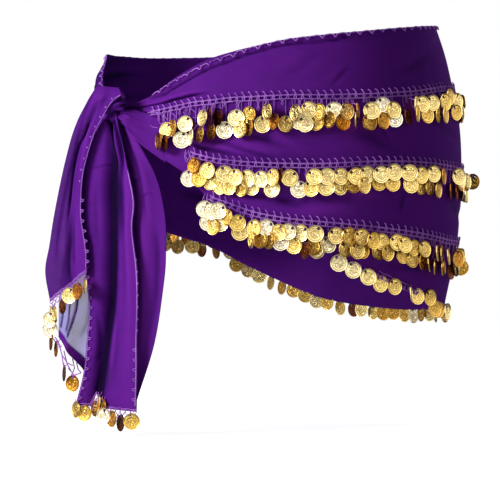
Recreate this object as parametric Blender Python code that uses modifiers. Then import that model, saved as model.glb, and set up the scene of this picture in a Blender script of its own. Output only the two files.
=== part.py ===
"""A belly dance hip scarf, worn: chiffon wrapped round the hips, knotted at the wearer's right front,
with two folded tails and rows of coins on crochet bands.

Units are metres with +Z up. The wearer faces -Y, so +X is the wearer's left. The origin is on the axis
of the hips at the height of the knot. Angles are in degrees, from the front towards the wearer's left.
"""

import math
from collections import namedtuple

import bmesh
import bpy
import numpy as np
from mathutils import Vector

MM = 0.001

# The general hip form that the scarf is worn on: a superellipse in plan at each height.
FORM_POWER = 2.2
DEPTH_TO_WIDTH = 0.74
FormRow = namedtuple("FormRow", "height half_width")
FORM = (
    FormRow(-230, 162),
    FormRow(-195, 169),
    FormRow(-135, 181),
    FormRow(-95, 184),
    FormRow(-60, 185),
    FormRow(-15, 182),
    FormRow(15, 176),
    FormRow(45, 169),
    FormRow(84, 156),
)

# The wrapped cloth in millimetres: the height of its top edge, of its three coin rows and of its hem.
WrapRow = namedtuple("WrapRow", "angle top row_1 row_2 row_3 hem")
WRAP = (
    WrapRow(-44, -1, -5, -8, -11, -15),
    WrapRow(-37, -2, -11.5, -16, -20, -23),
    WrapRow(-30, 4, -12.5, -24.5, -37.5, -46),
    WrapRow(-19, 17.5, -9, -37, -56, -62),
    WrapRow(-11, 27, -5.6, -50.5, -72.5, -75),
    WrapRow(-3, 33.6, -4, -57, -91, -94),
    WrapRow(7, 41.3, -2, -61, -101.5, -107),
    WrapRow(16, 46.8, -1.5, -63, -109, -116),
    WrapRow(29, 52.8, -0.5, -64.5, -115.5, -130),
    WrapRow(43, 57, -0.5, -64.5, -119.5, -148),
    WrapRow(55, 60.5, 0.7, -62.5, -122.7, -165),
    WrapRow(69, 65.3, 4, -62, -127.5, -182),
    WrapRow(88, 71.5, 12, -64.5, -135, -197),
    WrapRow(112, 77, 15, -66, -137, -203),
    WrapRow(136, 79, 16, -66, -138, -206),
    WrapRow(160, 77, 15, -66, -137, -203),
    WrapRow(184, 72, 12, -65, -134, -194),
    WrapRow(203, 67, 4, -63, -127, -177),
    WrapRow(217, 63, 1, -63, -124, -160),
    WrapRow(229, 60, -1, -67, -119, -142),
    WrapRow(243, 58, -1, -67, -114, -128),
    WrapRow(256, 56, -3, -66, -109, -115),
    WrapRow(275, 54, -6, -58, -90, -92),
    WrapRow(291, 50, -11, -38, -58, -67),
    WrapRow(302, 34, -12, -25, -39, -48),
    WrapRow(309, 17, -8, -16, -20, -24),
    WrapRow(316, 9, -5, -8, -11, -15),
)

CLOTH = 1.5 * MM
CLOTH_OUT = 3.0 * MM
SEAM = 0.4 * MM
WRAP_DOWN = 9
DEGREES_A_COLUMN = 5.5
Stretch = namedtuple("Stretch", "name start end")
STRETCHES = (
    Stretch("wrap_front", -43.2, 46.0),
    Stretch("wrap_left_hip", 46.0, 136.0),
    Stretch("wrap_back", 136.0, 226.0),
    Stretch("wrap_right_hip", 226.0, 315.8),
)

# Gathers that fan out from the knot: a place down the cloth (0 top, 1 hem), a half width there,
# a depth outwards in millimetres and a reach from the knot in degrees.
Gather = namedtuple("Gather", "place half_width depth reach")
GATHERS = (
    Gather(0.02, 0.07, 2.2, 60),
    Gather(0.22, 0.08, -1.8, 26),
    Gather(0.40, 0.10, 2.4, 22),
    Gather(0.58, 0.08, -1.6, 16),
    Gather(0.76, 0.10, 2.6, 34),
    Gather(0.99, 0.06, 1.6, 50),
)

# One strand of two coins on its thread: how far down and across each section is, how wide and how far out.
Section = namedtuple("Section", "drop across half_width out")
ROOT = Section(0, 0, 1.2, 1.9)
TWO_COINS = (
    Section(5.0, 0.0, 3.8, 3.4),
    Section(11.5, 0.0, 7.4, 3.6),
    Section(17.0, 4.0, 4.6, 3.2),
    Section(22.0, 8.0, 7.4, 2.9),
    Section(30.0, 8.0, 3.6, 2.8),
)
HEM_COIN = (
    Section(1.4, 0, 5.6, 2.6),
    Section(5.5, 0, 7.4, 2.8),
    Section(13.2, 0, 3.6, 2.8),
)
ONE_COIN = (
    Section(4.0, 0.0, 3.8, 2.6),
    Section(11.0, 0.0, 7.4, 2.8),
    Section(18.6, 0.0, 3.6, 2.8),
)
STRAND_PITCH = 16.0 * MM
ROW_SAMPLES = 200
BAND_HEIGHT = 4.0
TAIL_BAND_OUT = 0.5
FRINGE = 1.0 * MM
# The middle row's coins hang over the start of the row below, so they stand further out.
CoinRow = namedtuple("CoinRow", "line start end coins lift")
COIN_ROWS = (
    CoinRow("row_1", -29.0, 302.0, TWO_COINS, 0.0),
    CoinRow("row_2", -11.0, 284.0, TWO_COINS, 2.4),
    CoinRow("row_3", -3.0, 276.0, TWO_COINS, 0.0),
    CoinRow("hem", 45.0, 220.0, HEM_COIN, 0.0),
)
MIDDLE_BACK = 136.4

# The knot: a rounded core of hidden layers, and the roll of cloth that is drawn round its right end.
KNOT_ANGLE = -43.6
KNOT_HEIGHT = -3.0
KNOT_HALF_LENGTH = 19.0
KNOT_HALF_DEPTH = 11.0
KNOT_HALF_HEIGHT = 11.0
KNOT_CLEARANCE = 3.7
KNOT_FOLDS = 5
KNOT_FOLD_DEPTH = 0.05
KNOT_SEGMENTS = 16
KNOT_RINGS = 10
RollPoint = namedtuple("RollPoint", "x y z")
ROLL = (
    RollPoint(-100.9, -136.0, 3),
    RollPoint(-98.3, -138.4, 0.5),
    RollPoint(-98.1, -138.9, -3.5),
    RollPoint(-99.9, -137.4, -7.5),
)
ROLL_RADIUS = 5.0

# The tails hang in front of the right thigh, in layers on one gentle curve.
TAIL_FRONT = 149.5
TAIL_MIDDLE = -50.0
TAIL_CURVE = 0.0016
TAIL_ACROSS = 9
TAIL_DOWN = 14
FOLDS_OPEN = 3.0  # a tail's folds are fully open this many times before its end
NOTCH_POWER = 8  # how late down the tail its end's notch starts
# Each section of a tail in millimetres: its left and right ends, and how far it is drawn back.
TailRow = namedtuple("TailRow", "left left_height right right_height back")
TailFold = namedtuple("TailFold", "place half_width depth")
Tail = namedtuple("Tail", "name layer rows folds notch")
OUTER_TAIL = (
    TailRow(-127, 8.4, -106, 8.0, 17),
    TailRow(-128, 14, -103, 11, 8),
    TailRow(-133, 5, -96, 3, 0),
    TailRow(-142, -7, -109, -6, 0),
    TailRow(-151, -20, -121, -21, 0),
    TailRow(-160, -38, -131, -38, 0),
    TailRow(-172, -71, -143, -71, 0),
    TailRow(-184, -111, -146, -111, 0),
    TailRow(-191, -140, -140, -138, 0),
    TailRow(-194, -166, -138, -154, 0),
    TailRow(-187, -195, -138, -166, 0),
)
FRONT_TAIL = (
    TailRow(-117, -13.4, -107, -11.8, 3),
    TailRow(-127, -26, -102, -28, 0),
    TailRow(-140, -48, -96, -48, 0),
    TailRow(-150, -74, -89, -72, 0),
    TailRow(-153, -104, -83, -99, 0),
    TailRow(-150, -136, -85, -125, 0),
    TailRow(-145, -168, -80, -162, 0),
    TailRow(-140, -200, -79, -195, 0),
    TailRow(-140, -235, -80, -230, 0),
    TailRow(-143, -262, -80, -262, 0),
    TailRow(-156, -289, -81, -300, 0),
)
INNER_TAIL = (
    TailRow(-112, -13.1, -104, -10.5, 0),
    TailRow(-106, -28, -94, -28, 0),
    TailRow(-103, -50, -77, -52, 0),
    TailRow(-100, -80, -62, -80, 0),
    TailRow(-98, -114, -54, -114, 0),
    TailRow(-98, -144, -53, -144, 0),
    TailRow(-98, -175, -55, -175, 0),
    TailRow(-100, -235, -66, -235, 0),
    TailRow(-102, -288, -81, -287, 0),
)
REAR_TAIL = (
    TailRow(-126, -13.7, -114, -13.7, 0),
    TailRow(-140, -45, -118, -45, 0),
    TailRow(-158, -80, -125, -80, 0),
    TailRow(-175, -120, -128, -120, 0),
    TailRow(-188, -160, -130, -160, 0),
    TailRow(-194, -188, -132, -200, 0),
    TailRow(-195, -226, -148, -263, 0),
)
TAILS = (
    Tail("tail_outer", 0, OUTER_TAIL, (TailFold(0.52, 0.16, 3.0),), 0),
    Tail("tail_front", 7, FRONT_TAIL, (TailFold(0.42, 0.13, 9.0), TailFold(0.85, 0.16, -2.0)), 9),
    Tail("tail_inner", 15, INNER_TAIL, (TailFold(0.45, 0.20, -3.0),), 0),
    Tail("tail_rear", 23, REAR_TAIL, (TailFold(0.35, 0.14, -4.0), TailFold(0.70, 0.12, 3.0)), 0),
)
# The coins on a tail's end: where along its bottom edge the band starts and ends (0 left, 1 right), how
# many places on it could hold a strand, and that each of them does, or every second one.
TailFringe = namedtuple("TailFringe", "name tail start end places every coins")
TAIL_FRINGES = (
    TailFringe("coins_tail_outer", "tail_outer", 0.03, 0.94, 4, 1, TWO_COINS),
    TailFringe("coins_tail_front_left", "tail_front", 0.02, 0.24, 2, 1, ONE_COIN),
    TailFringe("coins_tail_front_right", "tail_front", 0.62, 0.97, 3, 2, ONE_COIN),
    TailFringe("coins_tail_rear", "tail_rear", 0.04, 0.62, 3, 2, TWO_COINS),
)

CHIFFON = (0.11, 0.016, 0.24)
GILT = (0.76, 0.50, 0.12)


def smooth_between(knots, values, place):
    """The value at a place on a smooth curve through the table's values."""
    slopes = np.gradient(np.asarray(values, float), np.asarray(knots, float))
    i = int(np.clip(np.searchsorted(knots, place) - 1, 0, len(knots) - 2))
    width = knots[i + 1] - knots[i]
    t = (place - knots[i]) / width
    start = values[i] * (1 + 2 * t) + slopes[i] * width * t
    end = values[i + 1] * (3 - 2 * t) + slopes[i + 1] * width * (t - 1)
    return start * (1 - t) ** 2 + end * t**2


def bump(distance, half_width):
    return math.exp(-((distance / half_width) ** 2))


def form_radius(angle, height):
    """The hip form's radius at an angle and a height, in metres."""
    half_width = smooth_between([r.height for r in FORM], [r.half_width for r in FORM], height / MM)
    across = abs(math.sin(math.radians(angle))) / half_width
    along = abs(math.cos(math.radians(angle))) / (half_width * DEPTH_TO_WIDTH)
    return MM * (across**FORM_POWER + along**FORM_POWER) ** (-1 / FORM_POWER)


def edge_height(line, angle):
    """The height of one line of the wrapped cloth, in metres."""
    angles = [row.angle for row in WRAP]
    return MM * smooth_between(angles, [getattr(row, line) for row in WRAP], angle)


def gathering(angle, height):
    """How far the gathers near the knot push the cloth out at a place, in metres."""
    top = edge_height("top", angle)
    hem = edge_height("hem", angle)
    place = (top - height) / (top - hem)
    from_knot = min(angle - WRAP[0].angle, WRAP[-1].angle - angle)
    return MM * sum(
        g.depth * bump(place - g.place, g.half_width) * bump(from_knot, g.reach) for g in GATHERS
    )


def on_wrap(angle, height, out):
    """A point at a height on the wrapped cloth, moved out from its middle surface."""
    radius = form_radius(angle, height) + CLOTH_OUT + gathering(angle, height) + out
    turn = math.radians(angle)
    return Vector((radius * math.sin(turn), -radius * math.cos(turn), height))


def on_tail(tail, across, down, out=0.0):
    """A point on a tail, by its place across (0 to 1) and down (0 to 1), moved out towards the front."""
    steps = np.linspace(0, 1, len(tail.rows))
    row = TailRow(*(smooth_between(steps, column, down) for column in zip(*tail.rows)))
    x = row.left + (row.right - row.left) * across
    height = row.left_height + (row.right_height - row.left_height) * across
    fold = sum(f.depth * bump(across - f.place, f.half_width) for f in tail.folds)
    opening = min(1.0, down * FOLDS_OPEN)
    if tail.notch:
        valley = tail.folds[0]
        height += tail.notch * bump(across - valley.place, valley.half_width) * down**NOTCH_POWER
    front = TAIL_FRONT - TAIL_CURVE * (x - TAIL_MIDDLE) ** 2
    y = -front + tail.layer + row.back + fold * opening
    return Vector((x * MM, y * MM - out, height * MM))


def material(name, colour, roughness, metallic=0.0):
    made = bpy.data.materials.new(name)
    made.use_nodes = True
    shader = made.node_tree.nodes["Principled BSDF"]
    shader.inputs["Base Color"].default_value = (*colour, 1.0)
    shader.inputs["Roughness"].default_value = roughness
    shader.inputs["Metallic"].default_value = metallic
    return made


def add_object(name, mesh, look, collection):
    mesh.materials.append(look)
    made = bpy.data.objects.new(name, mesh)
    collection.objects.link(made)
    mesh.shade_smooth()
    return made


def add_sheet(name, points, faces, thickness, look, collection):
    """An open surface given its thickness, half to each side."""
    mesh = bpy.data.meshes.new(name)
    mesh.from_pydata(points, [], faces)
    made = add_object(name, mesh, look, collection)
    solidify = made.modifiers.new("Thickness", "SOLIDIFY")
    solidify.thickness = thickness
    solidify.offset = 0.0
    return made


def grid(place, columns, rows):
    """The points of place(across, down) on a grid, and the grid's faces."""
    points = [place(i / columns, j / rows) for j in range(rows + 1) for i in range(columns + 1)]
    width = columns + 1
    faces = [
        (j * width + i, (j + 1) * width + i, (j + 1) * width + i + 1, j * width + i + 1)
        for j in range(rows)
        for i in range(columns)
    ]
    return points, faces


def add_stretch(stretch, look, collection):
    """One stretch of the wrapped cloth, parted from its neighbours by a seam's gap."""
    half_gap = math.degrees(SEAM / (2 * form_radius(stretch.start, 0)))
    start = stretch.start + half_gap
    end = stretch.end - half_gap

    def place(across, down):
        angle = start + (end - start) * across
        top = edge_height("top", angle)
        return on_wrap(angle, top + (edge_height("hem", angle) - top) * down, 0.0)

    points, faces = grid(place, round((end - start) / DEGREES_A_COLUMN), WRAP_DOWN)
    add_sheet(stretch.name, points, faces, CLOTH, look, collection)


def fringe_mesh(place, count, sections, every=1):
    """A narrow band with coin strands hanging from it, as one surface.

    place(strand, across, drop, out) gives a point, where strand counts along the band and the rest is
    in millimetres from that strand's root. Only every so many of them hang coins.
    """
    points = []
    faces = []
    before = None
    for strand in range(count):
        first = len(points)
        for side in (-1, 1):
            points.append(place(strand, side * ROOT.half_width, -BAND_HEIGHT, ROOT.out))
            points.append(place(strand, side * ROOT.half_width, 0, ROOT.out))
        faces.append((first, first + 1, first + 3, first + 2))
        if before is not None:
            faces.append((before + 2, before + 3, first + 1, first))
        upper = (first + 1, first + 3)
        before = first
        for section in () if strand % every else sections:
            lower = (len(points), len(points) + 1)
            for side in (-1, 1):
                across = section.across + side * section.half_width
                points.append(place(strand, across, section.drop, section.out))
            faces.append((upper[0], lower[0], lower[1], upper[1]))
            upper = lower
    return points, faces


def angles_along(line, start, end):
    """The angles of evenly spaced strands along a line of the wrap."""
    angles = np.linspace(start, end, ROW_SAMPLES)
    points = [on_wrap(angle, edge_height(line, angle), 0.0) for angle in angles]
    steps = [(b - a).length for a, b in zip(points, points[1:])]
    along = np.concatenate([[0.0], np.cumsum(steps)])
    count = int(along[-1] / STRAND_PITCH)
    return np.interp((np.arange(count) + 0.5) * along[-1] / count, along, angles)


def add_coin_row(row, part, start, end, look, collection):
    """One half of a coin row, front or back, on the wrapped cloth."""
    angles = angles_along(row.line, start, end)

    def place(strand, across, drop, out):
        height = edge_height(row.line, angles[strand]) - drop * MM
        turn = math.degrees(across * MM / form_radius(angles[strand], height))
        lift = row.lift if drop > 0 else 0.0
        return on_wrap(angles[strand] + turn, height, (out + lift) * MM)

    points, faces = fringe_mesh(place, len(angles), row.coins)
    add_sheet(f"coins_{row.line}_{part}", points, faces, FRINGE, look, collection)


def add_tail_fringe(fringe, look, collection):
    """The coins along a tail's bottom edge."""
    tail = next(t for t in TAILS if t.name == fringe.tail)
    length = (on_tail(tail, fringe.end, 1) - on_tail(tail, fringe.start, 1)).length
    edge = np.linspace(fringe.start, fringe.end, fringe.places)

    def place(strand, across, drop, out):
        forward = (out + TAIL_BAND_OUT) * MM
        if drop > 0:
            return on_tail(tail, edge[strand], 1.0, forward) + Vector((across * MM, 0, -drop * MM))
        beside = edge[strand] + across * MM / length * (fringe.end - fringe.start)
        return on_tail(tail, beside, 1.0, forward) - Vector((0, 0, drop * MM))

    points, faces = fringe_mesh(place, fringe.places, fringe.coins, fringe.every)
    add_sheet(fringe.name, points, faces, FRINGE, look, collection)


def add_knot_core(look, collection):
    """The rounded core of the knot, lying along the hip with soft folds round it."""
    turn = math.radians(KNOT_ANGLE)
    along = Vector((math.cos(turn), math.sin(turn), 0))
    outward = Vector((math.sin(turn), -math.cos(turn), 0))
    behind = form_radius(KNOT_ANGLE, 0) + CLOTH_OUT + KNOT_CLEARANCE * MM
    centre = outward * (behind + KNOT_HALF_DEPTH * MM) + Vector((0, 0, KNOT_HEIGHT * MM))
    mesh = bpy.data.meshes.new("knot_core")
    shape = bmesh.new()
    bmesh.ops.create_uvsphere(shape, u_segments=KNOT_SEGMENTS, v_segments=KNOT_RINGS, radius=1.0)
    for vert in shape.verts:
        x, y, z = vert.co
        fold = 1 - KNOT_FOLD_DEPTH * (1 + math.cos(KNOT_FOLDS * math.atan2(y, z)))
        vert.co = (
            centre
            + along * (x * KNOT_HALF_LENGTH * MM)
            + outward * (y * fold * KNOT_HALF_DEPTH * MM)
            + Vector((0, 0, z * fold * KNOT_HALF_HEIGHT * MM))
        )
    bmesh.ops.recalc_face_normals(shape, faces=shape.faces)
    shape.to_mesh(mesh)
    shape.free()
    add_object("knot_core", mesh, look, collection)


def add_knot_roll(look, collection):
    """The roll of cloth drawn round the core's right end."""
    curve = bpy.data.curves.new("knot_roll", "CURVE")
    curve.dimensions = "3D"
    curve.bevel_depth = ROLL_RADIUS * MM
    curve.bevel_resolution = 2
    curve.use_fill_caps = True
    curve.resolution_u = 4
    spline = curve.splines.new("BEZIER")
    spline.bezier_points.add(len(ROLL) - 1)
    for bezier, point in zip(spline.bezier_points, ROLL):
        bezier.co = Vector(point) * MM
        bezier.handle_left_type = "AUTO"
        bezier.handle_right_type = "AUTO"
    curve.materials.append(look)
    collection.objects.link(bpy.data.objects.new("knot_roll", curve))


def main():
    for old in list(bpy.data.objects):
        bpy.data.objects.remove(old)
    collection = bpy.data.collections.new("belly_dance_hip_scarf")
    bpy.context.scene.collection.children.link(collection)
    chiffon = material("chiffon", CHIFFON, 0.7)
    gilt = material("gilt_coin", GILT, 0.3, metallic=1.0)
    for stretch in STRETCHES:
        add_stretch(stretch, chiffon, collection)
    for tail in TAILS:
        points, faces = grid(lambda across, down: on_tail(tail, across, down), TAIL_ACROSS, TAIL_DOWN)
        add_sheet(tail.name, points, faces, CLOTH, chiffon, collection)
    add_knot_core(chiffon, collection)
    add_knot_roll(chiffon, collection)
    for row in COIN_ROWS:
        add_coin_row(row, "front", row.start, MIDDLE_BACK, gilt, collection)
        add_coin_row(row, "back", MIDDLE_BACK, row.end, gilt, collection)
    for fringe in TAIL_FRINGES:
        add_tail_fringe(fringe, gilt, collection)


main()
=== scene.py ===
"""A worn belly dance hip scarf: purple chiffon, orchid crochet edging and pressed gilt coins.

The tables are in millimetres and degrees, in the CAD model's own frame: the wearer faces -Y, +X is the
wearer's left and +Z is up. Angles go from the front towards the wearer's left.
"""

import math
from collections import namedtuple
from functools import partial

import bmesh
import bpy
import numpy as np
from bpy.props import FloatProperty, IntProperty, PointerProperty, StringProperty
from mathutils import Matrix, Vector
from mathutils.geometry import tessellate_polygon


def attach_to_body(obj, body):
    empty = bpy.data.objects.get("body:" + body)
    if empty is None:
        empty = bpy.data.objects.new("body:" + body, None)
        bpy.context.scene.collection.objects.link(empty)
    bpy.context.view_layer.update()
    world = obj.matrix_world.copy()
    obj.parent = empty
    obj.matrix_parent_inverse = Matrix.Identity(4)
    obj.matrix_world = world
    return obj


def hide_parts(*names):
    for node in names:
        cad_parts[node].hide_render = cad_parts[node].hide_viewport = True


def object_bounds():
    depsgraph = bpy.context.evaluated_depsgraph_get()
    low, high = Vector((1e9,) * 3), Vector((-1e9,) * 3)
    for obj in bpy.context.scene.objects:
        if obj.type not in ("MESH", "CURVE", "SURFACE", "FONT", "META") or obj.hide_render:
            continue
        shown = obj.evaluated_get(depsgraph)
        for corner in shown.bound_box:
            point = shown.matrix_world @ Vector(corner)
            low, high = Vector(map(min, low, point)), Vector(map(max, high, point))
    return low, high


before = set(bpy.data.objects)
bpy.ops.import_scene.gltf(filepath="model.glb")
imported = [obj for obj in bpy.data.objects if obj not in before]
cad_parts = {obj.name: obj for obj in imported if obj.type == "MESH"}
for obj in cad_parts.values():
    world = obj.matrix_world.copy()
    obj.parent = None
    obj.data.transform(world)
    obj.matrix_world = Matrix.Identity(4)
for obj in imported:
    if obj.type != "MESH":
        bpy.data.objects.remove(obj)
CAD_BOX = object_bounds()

bl_info = {
    "name": "Belly Dance Hip Scarf",
    "version": (1, 0, 0),
    "blender": (4, 5, 0),
    "location": "View3D > Sidebar > Hip Scarf",
    "description": "Makes the chiffon, crochet edging and coins of a worn hip scarf",
    "category": "Object",
}

MM = 0.001

# The hip form that the scarf is worn on: height and half width of a superellipse in plan.
FORM_POWER = 2.2
DEPTH_TO_WIDTH = 0.74
FORM = np.array([
    (-230, 162), (-195, 169), (-135, 181), (-95, 184), (-60, 185), (-15, 182), (15, 176), (45, 169),
    (84, 156),
], float)

# The wrapped cloth: an angle, then the height there of its top edge, of three coin rows and of its hem.
WRAP = np.array([
    (-44, -8, -9, -10, -12, -15), (-37, -2.8, -11.5, -16, -20, -23), (-30, 2.2, -12.5, -24.5, -37.5, -46),
    (-19, 18.6, -9, -37, -56, -62), (-11, 28.6, -5.6, -50.5, -72.5, -75), (-3, 36.4, -4, -57, -91, -94),
    (7, 42.4, -2, -61, -101.5, -107), (16, 46.8, -1.5, -63, -109, -116),
    (29, 52.8, -0.5, -64.5, -115.5, -130), (43, 57, -0.5, -64.5, -119.5, -148),
    (55, 60.5, 0.7, -62.5, -122.7, -165), (69, 65.3, 4, -62, -127.5, -182),
    (88, 71.5, 12, -64.5, -135, -197), (112, 77, 15, -66, -137, -203), (136, 79, 16, -66, -138, -206),
    (160, 77, 15, -66, -137, -203), (184, 72, 12, -65, -134, -194), (203, 67, 4, -63, -127, -177),
    (217, 63, 1, -63, -124, -160), (229, 60, -1, -67, -119, -142), (243, 58, -1, -67, -114, -128),
    (256, 56, -3, -66, -109, -115), (275, 54, -6, -58, -90, -92), (291, 50, -11, -38, -58, -67),
    (299, 40.5, -11.7, -28.5, -44, -53), (301, 30, -12, -26, -41, -50),
    (303, 16, -11.4, -23.7, -36, -44.6), (309, 10, -8, -16, -20, -24), (316, 8, -5, -8, -11, -15),
], float)
LINES = {"top": 1, "row_1": 2, "row_2": 3, "row_3": 4, "hem": 5}
WRAP_START, WRAP_END = -43.2, 315.8
CLOTH_OUT = 3.0
# Gathers at the knot: a place down the cloth, a half width there, a depth and a reach in degrees.
GATHERS = (
    (0.02, 0.07, 1.6, 50), (0.22, 0.08, -0.9, 22), (0.40, 0.10, 1.6, 22),
    (0.58, 0.08, -0.9, 16), (0.76, 0.10, 1.8, 34), (0.99, 0.06, 1.6, 50),
)
# The slack over the right hip, beside the knot: its middle, its half sizes and how far it stands off.
SLACK_ANGLE, SLACK_HEIGHT = 289, 24
SLACK_SPREAD, SLACK_RISE = 17, 20
SLACK_OUT = 9.0
WRAP_NODES = ("wrap_front", "wrap_left_hip", "wrap_back", "wrap_right_hip")

# The tails hang in layers on one gentle curve: how far forward it comes, where, and how fast it falls back.
TAIL_FRONT = 149.5
TAIL_MIDDLE = -50.0
TAIL_CURVE = 0.0016
# A tail's folds are fully open at one third of the way down, and a notch in its end rises fast.
FOLDS_OPEN = 3.0
NOTCH_POWER = 8
# A tail: how far back its layer is, and its sections from the knot down, each with its left end, that
# end's height, its right end, that end's height and how far it is drawn back. Its folds: a place across,
# a half width there and a depth backwards. Its notch: how high the first fold lifts the bottom edge.
Tail = namedtuple("Tail", "name layer rows folds notch")
# The front tail's deep fold wanders: places down, and its place across at each.
FRONT_VALLEY = (
    (0, 0.15, 0.27, 0.38, 0.5, 0.62, 0.79, 0.89, 1),
    (0.45, 0.58, 0.63, 0.56, 0.56, 0.46, 0.34, 0.29, 0.29),
)
TAILS = {
    tail.name: tail
    for tail in (
        Tail("tail_outer", 0, np.array([
            (-127, 8.4, -106, 8, 17), (-128, 14, -103, 11, 8), (-133, 5, -96, 3, 0),
            (-142, -7, -109, -6, 0), (-151, -20, -121, -21, 0), (-160, -38, -131, -38, 0),
            (-172, -71, -143, -71, 0), (-184, -111, -146, -111, 0), (-191, -140, -140, -138, 0),
            (-197.5, -166, -138, -154, 0), (-190, -196, -138, -166, 0),
        ], float), ((0.52, 0.16, 3.0),), 0),
        Tail("tail_front", 7, np.array([
            (-117, -13.4, -107, -11.8, 3), (-127, -26, -102, -28, 0), (-140, -48, -96, -48, 0),
            (-150, -74, -89, -72, 0), (-153, -104, -83, -99, 0), (-150, -136, -85, -125, 0),
            (-145, -168, -80, -162, 0), (-140, -200, -79, -195, 0), (-143, -235, -80, -230, 0),
            (-147, -264, -80, -262, 0), (-158, -297, -81, -300, 0),
        ], float), ((FRONT_VALLEY, 0.13, 9.0), (0.85, 0.16, -2.0)), 13),
        Tail("tail_inner", 15, np.array([
            (-112, -13.1, -104, -10.5, 0), (-106, -28, -94, -28, 0), (-103, -50, -77, -52, 0),
            (-100, -80, -62, -80, 0), (-98, -114, -54, -114, 0), (-98, -144, -53, -144, 0),
            (-98, -175, -55, -175, 0), (-100, -235, -66, -235, 0), (-102, -290, -85.5, -289, 0),
        ], float), ((0.45, 0.20, -3.0),), 0),
        Tail("tail_rear", 23, np.array([
            (-126, -13.7, -114, -13.7, 0), (-140, -45, -118, -45, 0), (-158, -80, -125, -80, 0),
            (-175, -120, -128, -120, 0), (-188, -160, -130, -160, 0), (-194, -188, -132, -200, 0),
            (-195, -232, -148, -275, 0),
        ], float), ((0.35, 0.14, -4.0), (0.70, 0.12, 3.0)), 0),
    )
}

# The knot: its core lies along the hip, with a roll of cloth drawn round the right end.
KNOT_ANGLE = -43.6
KNOT_HEIGHT = -3.0
KNOT_HALF_SIZES = (19.0, 11.0, 11.0)
KNOT_CLEARANCE = 3.7
ROLL = np.array([(-109.5, -135.0, -7), (-104.5, -138.6, -5.5), (-100, -139.2, -5.5), (-96.5, -137.0, -8)])
ROLL_RADIUS = 5.0

# A crease's points, its half width, its depth (a trough is negative), and the shares of its length
# over which it deepens and dies away.
Crease = namedtuple("Crease", "points half_width depth rise fall")
CREASE_STEPS = 33
CREASE_LIP = 0.45
# Painted creases and a painted lit ridge on the knot, only in its colour, as the camera sees it square on:
# to the right, and up.
KNOT_CREASES = [Crease(*row) for row in (
    (((-153.8, -11.8), (-147.9, -10.2), (-140.4, -11.8)), 1.7, 1.6, 0.2, 0.3),
    (((-150.5, -7.5), (-148.9, -6.5), (-143.6, -5.9), (-139.4, -8.6)), 1.4, -1.2, 0.2, 0.3),
    (((-156.4, -15.4), (-152.1, -18.3), (-146.9, -16.7)), 1.9, -1.6, 0.1, 0.3),
)]
# The band of the wrap drawn over the knot's right side: its lower edge and its upper one, each an angle, a
# height and how far out.
KNOT_BAND = np.array([
    (-38.6, -18.7, 14, -37.7, -11.6, 14), (-35.1, -27.4, 11, -35.1, -9.1, 12),
    (-33.8, -36.8, 7, -33.3, -10.6, 8), (-30, -45.9, 3, -31.1, -12.7, 3),
    (-25.4, -53.9, 1.2, -28.1, -16.3, 1.2), (-20.8, -61.9, 0, -25, -19.3, 0),
], float)
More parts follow.
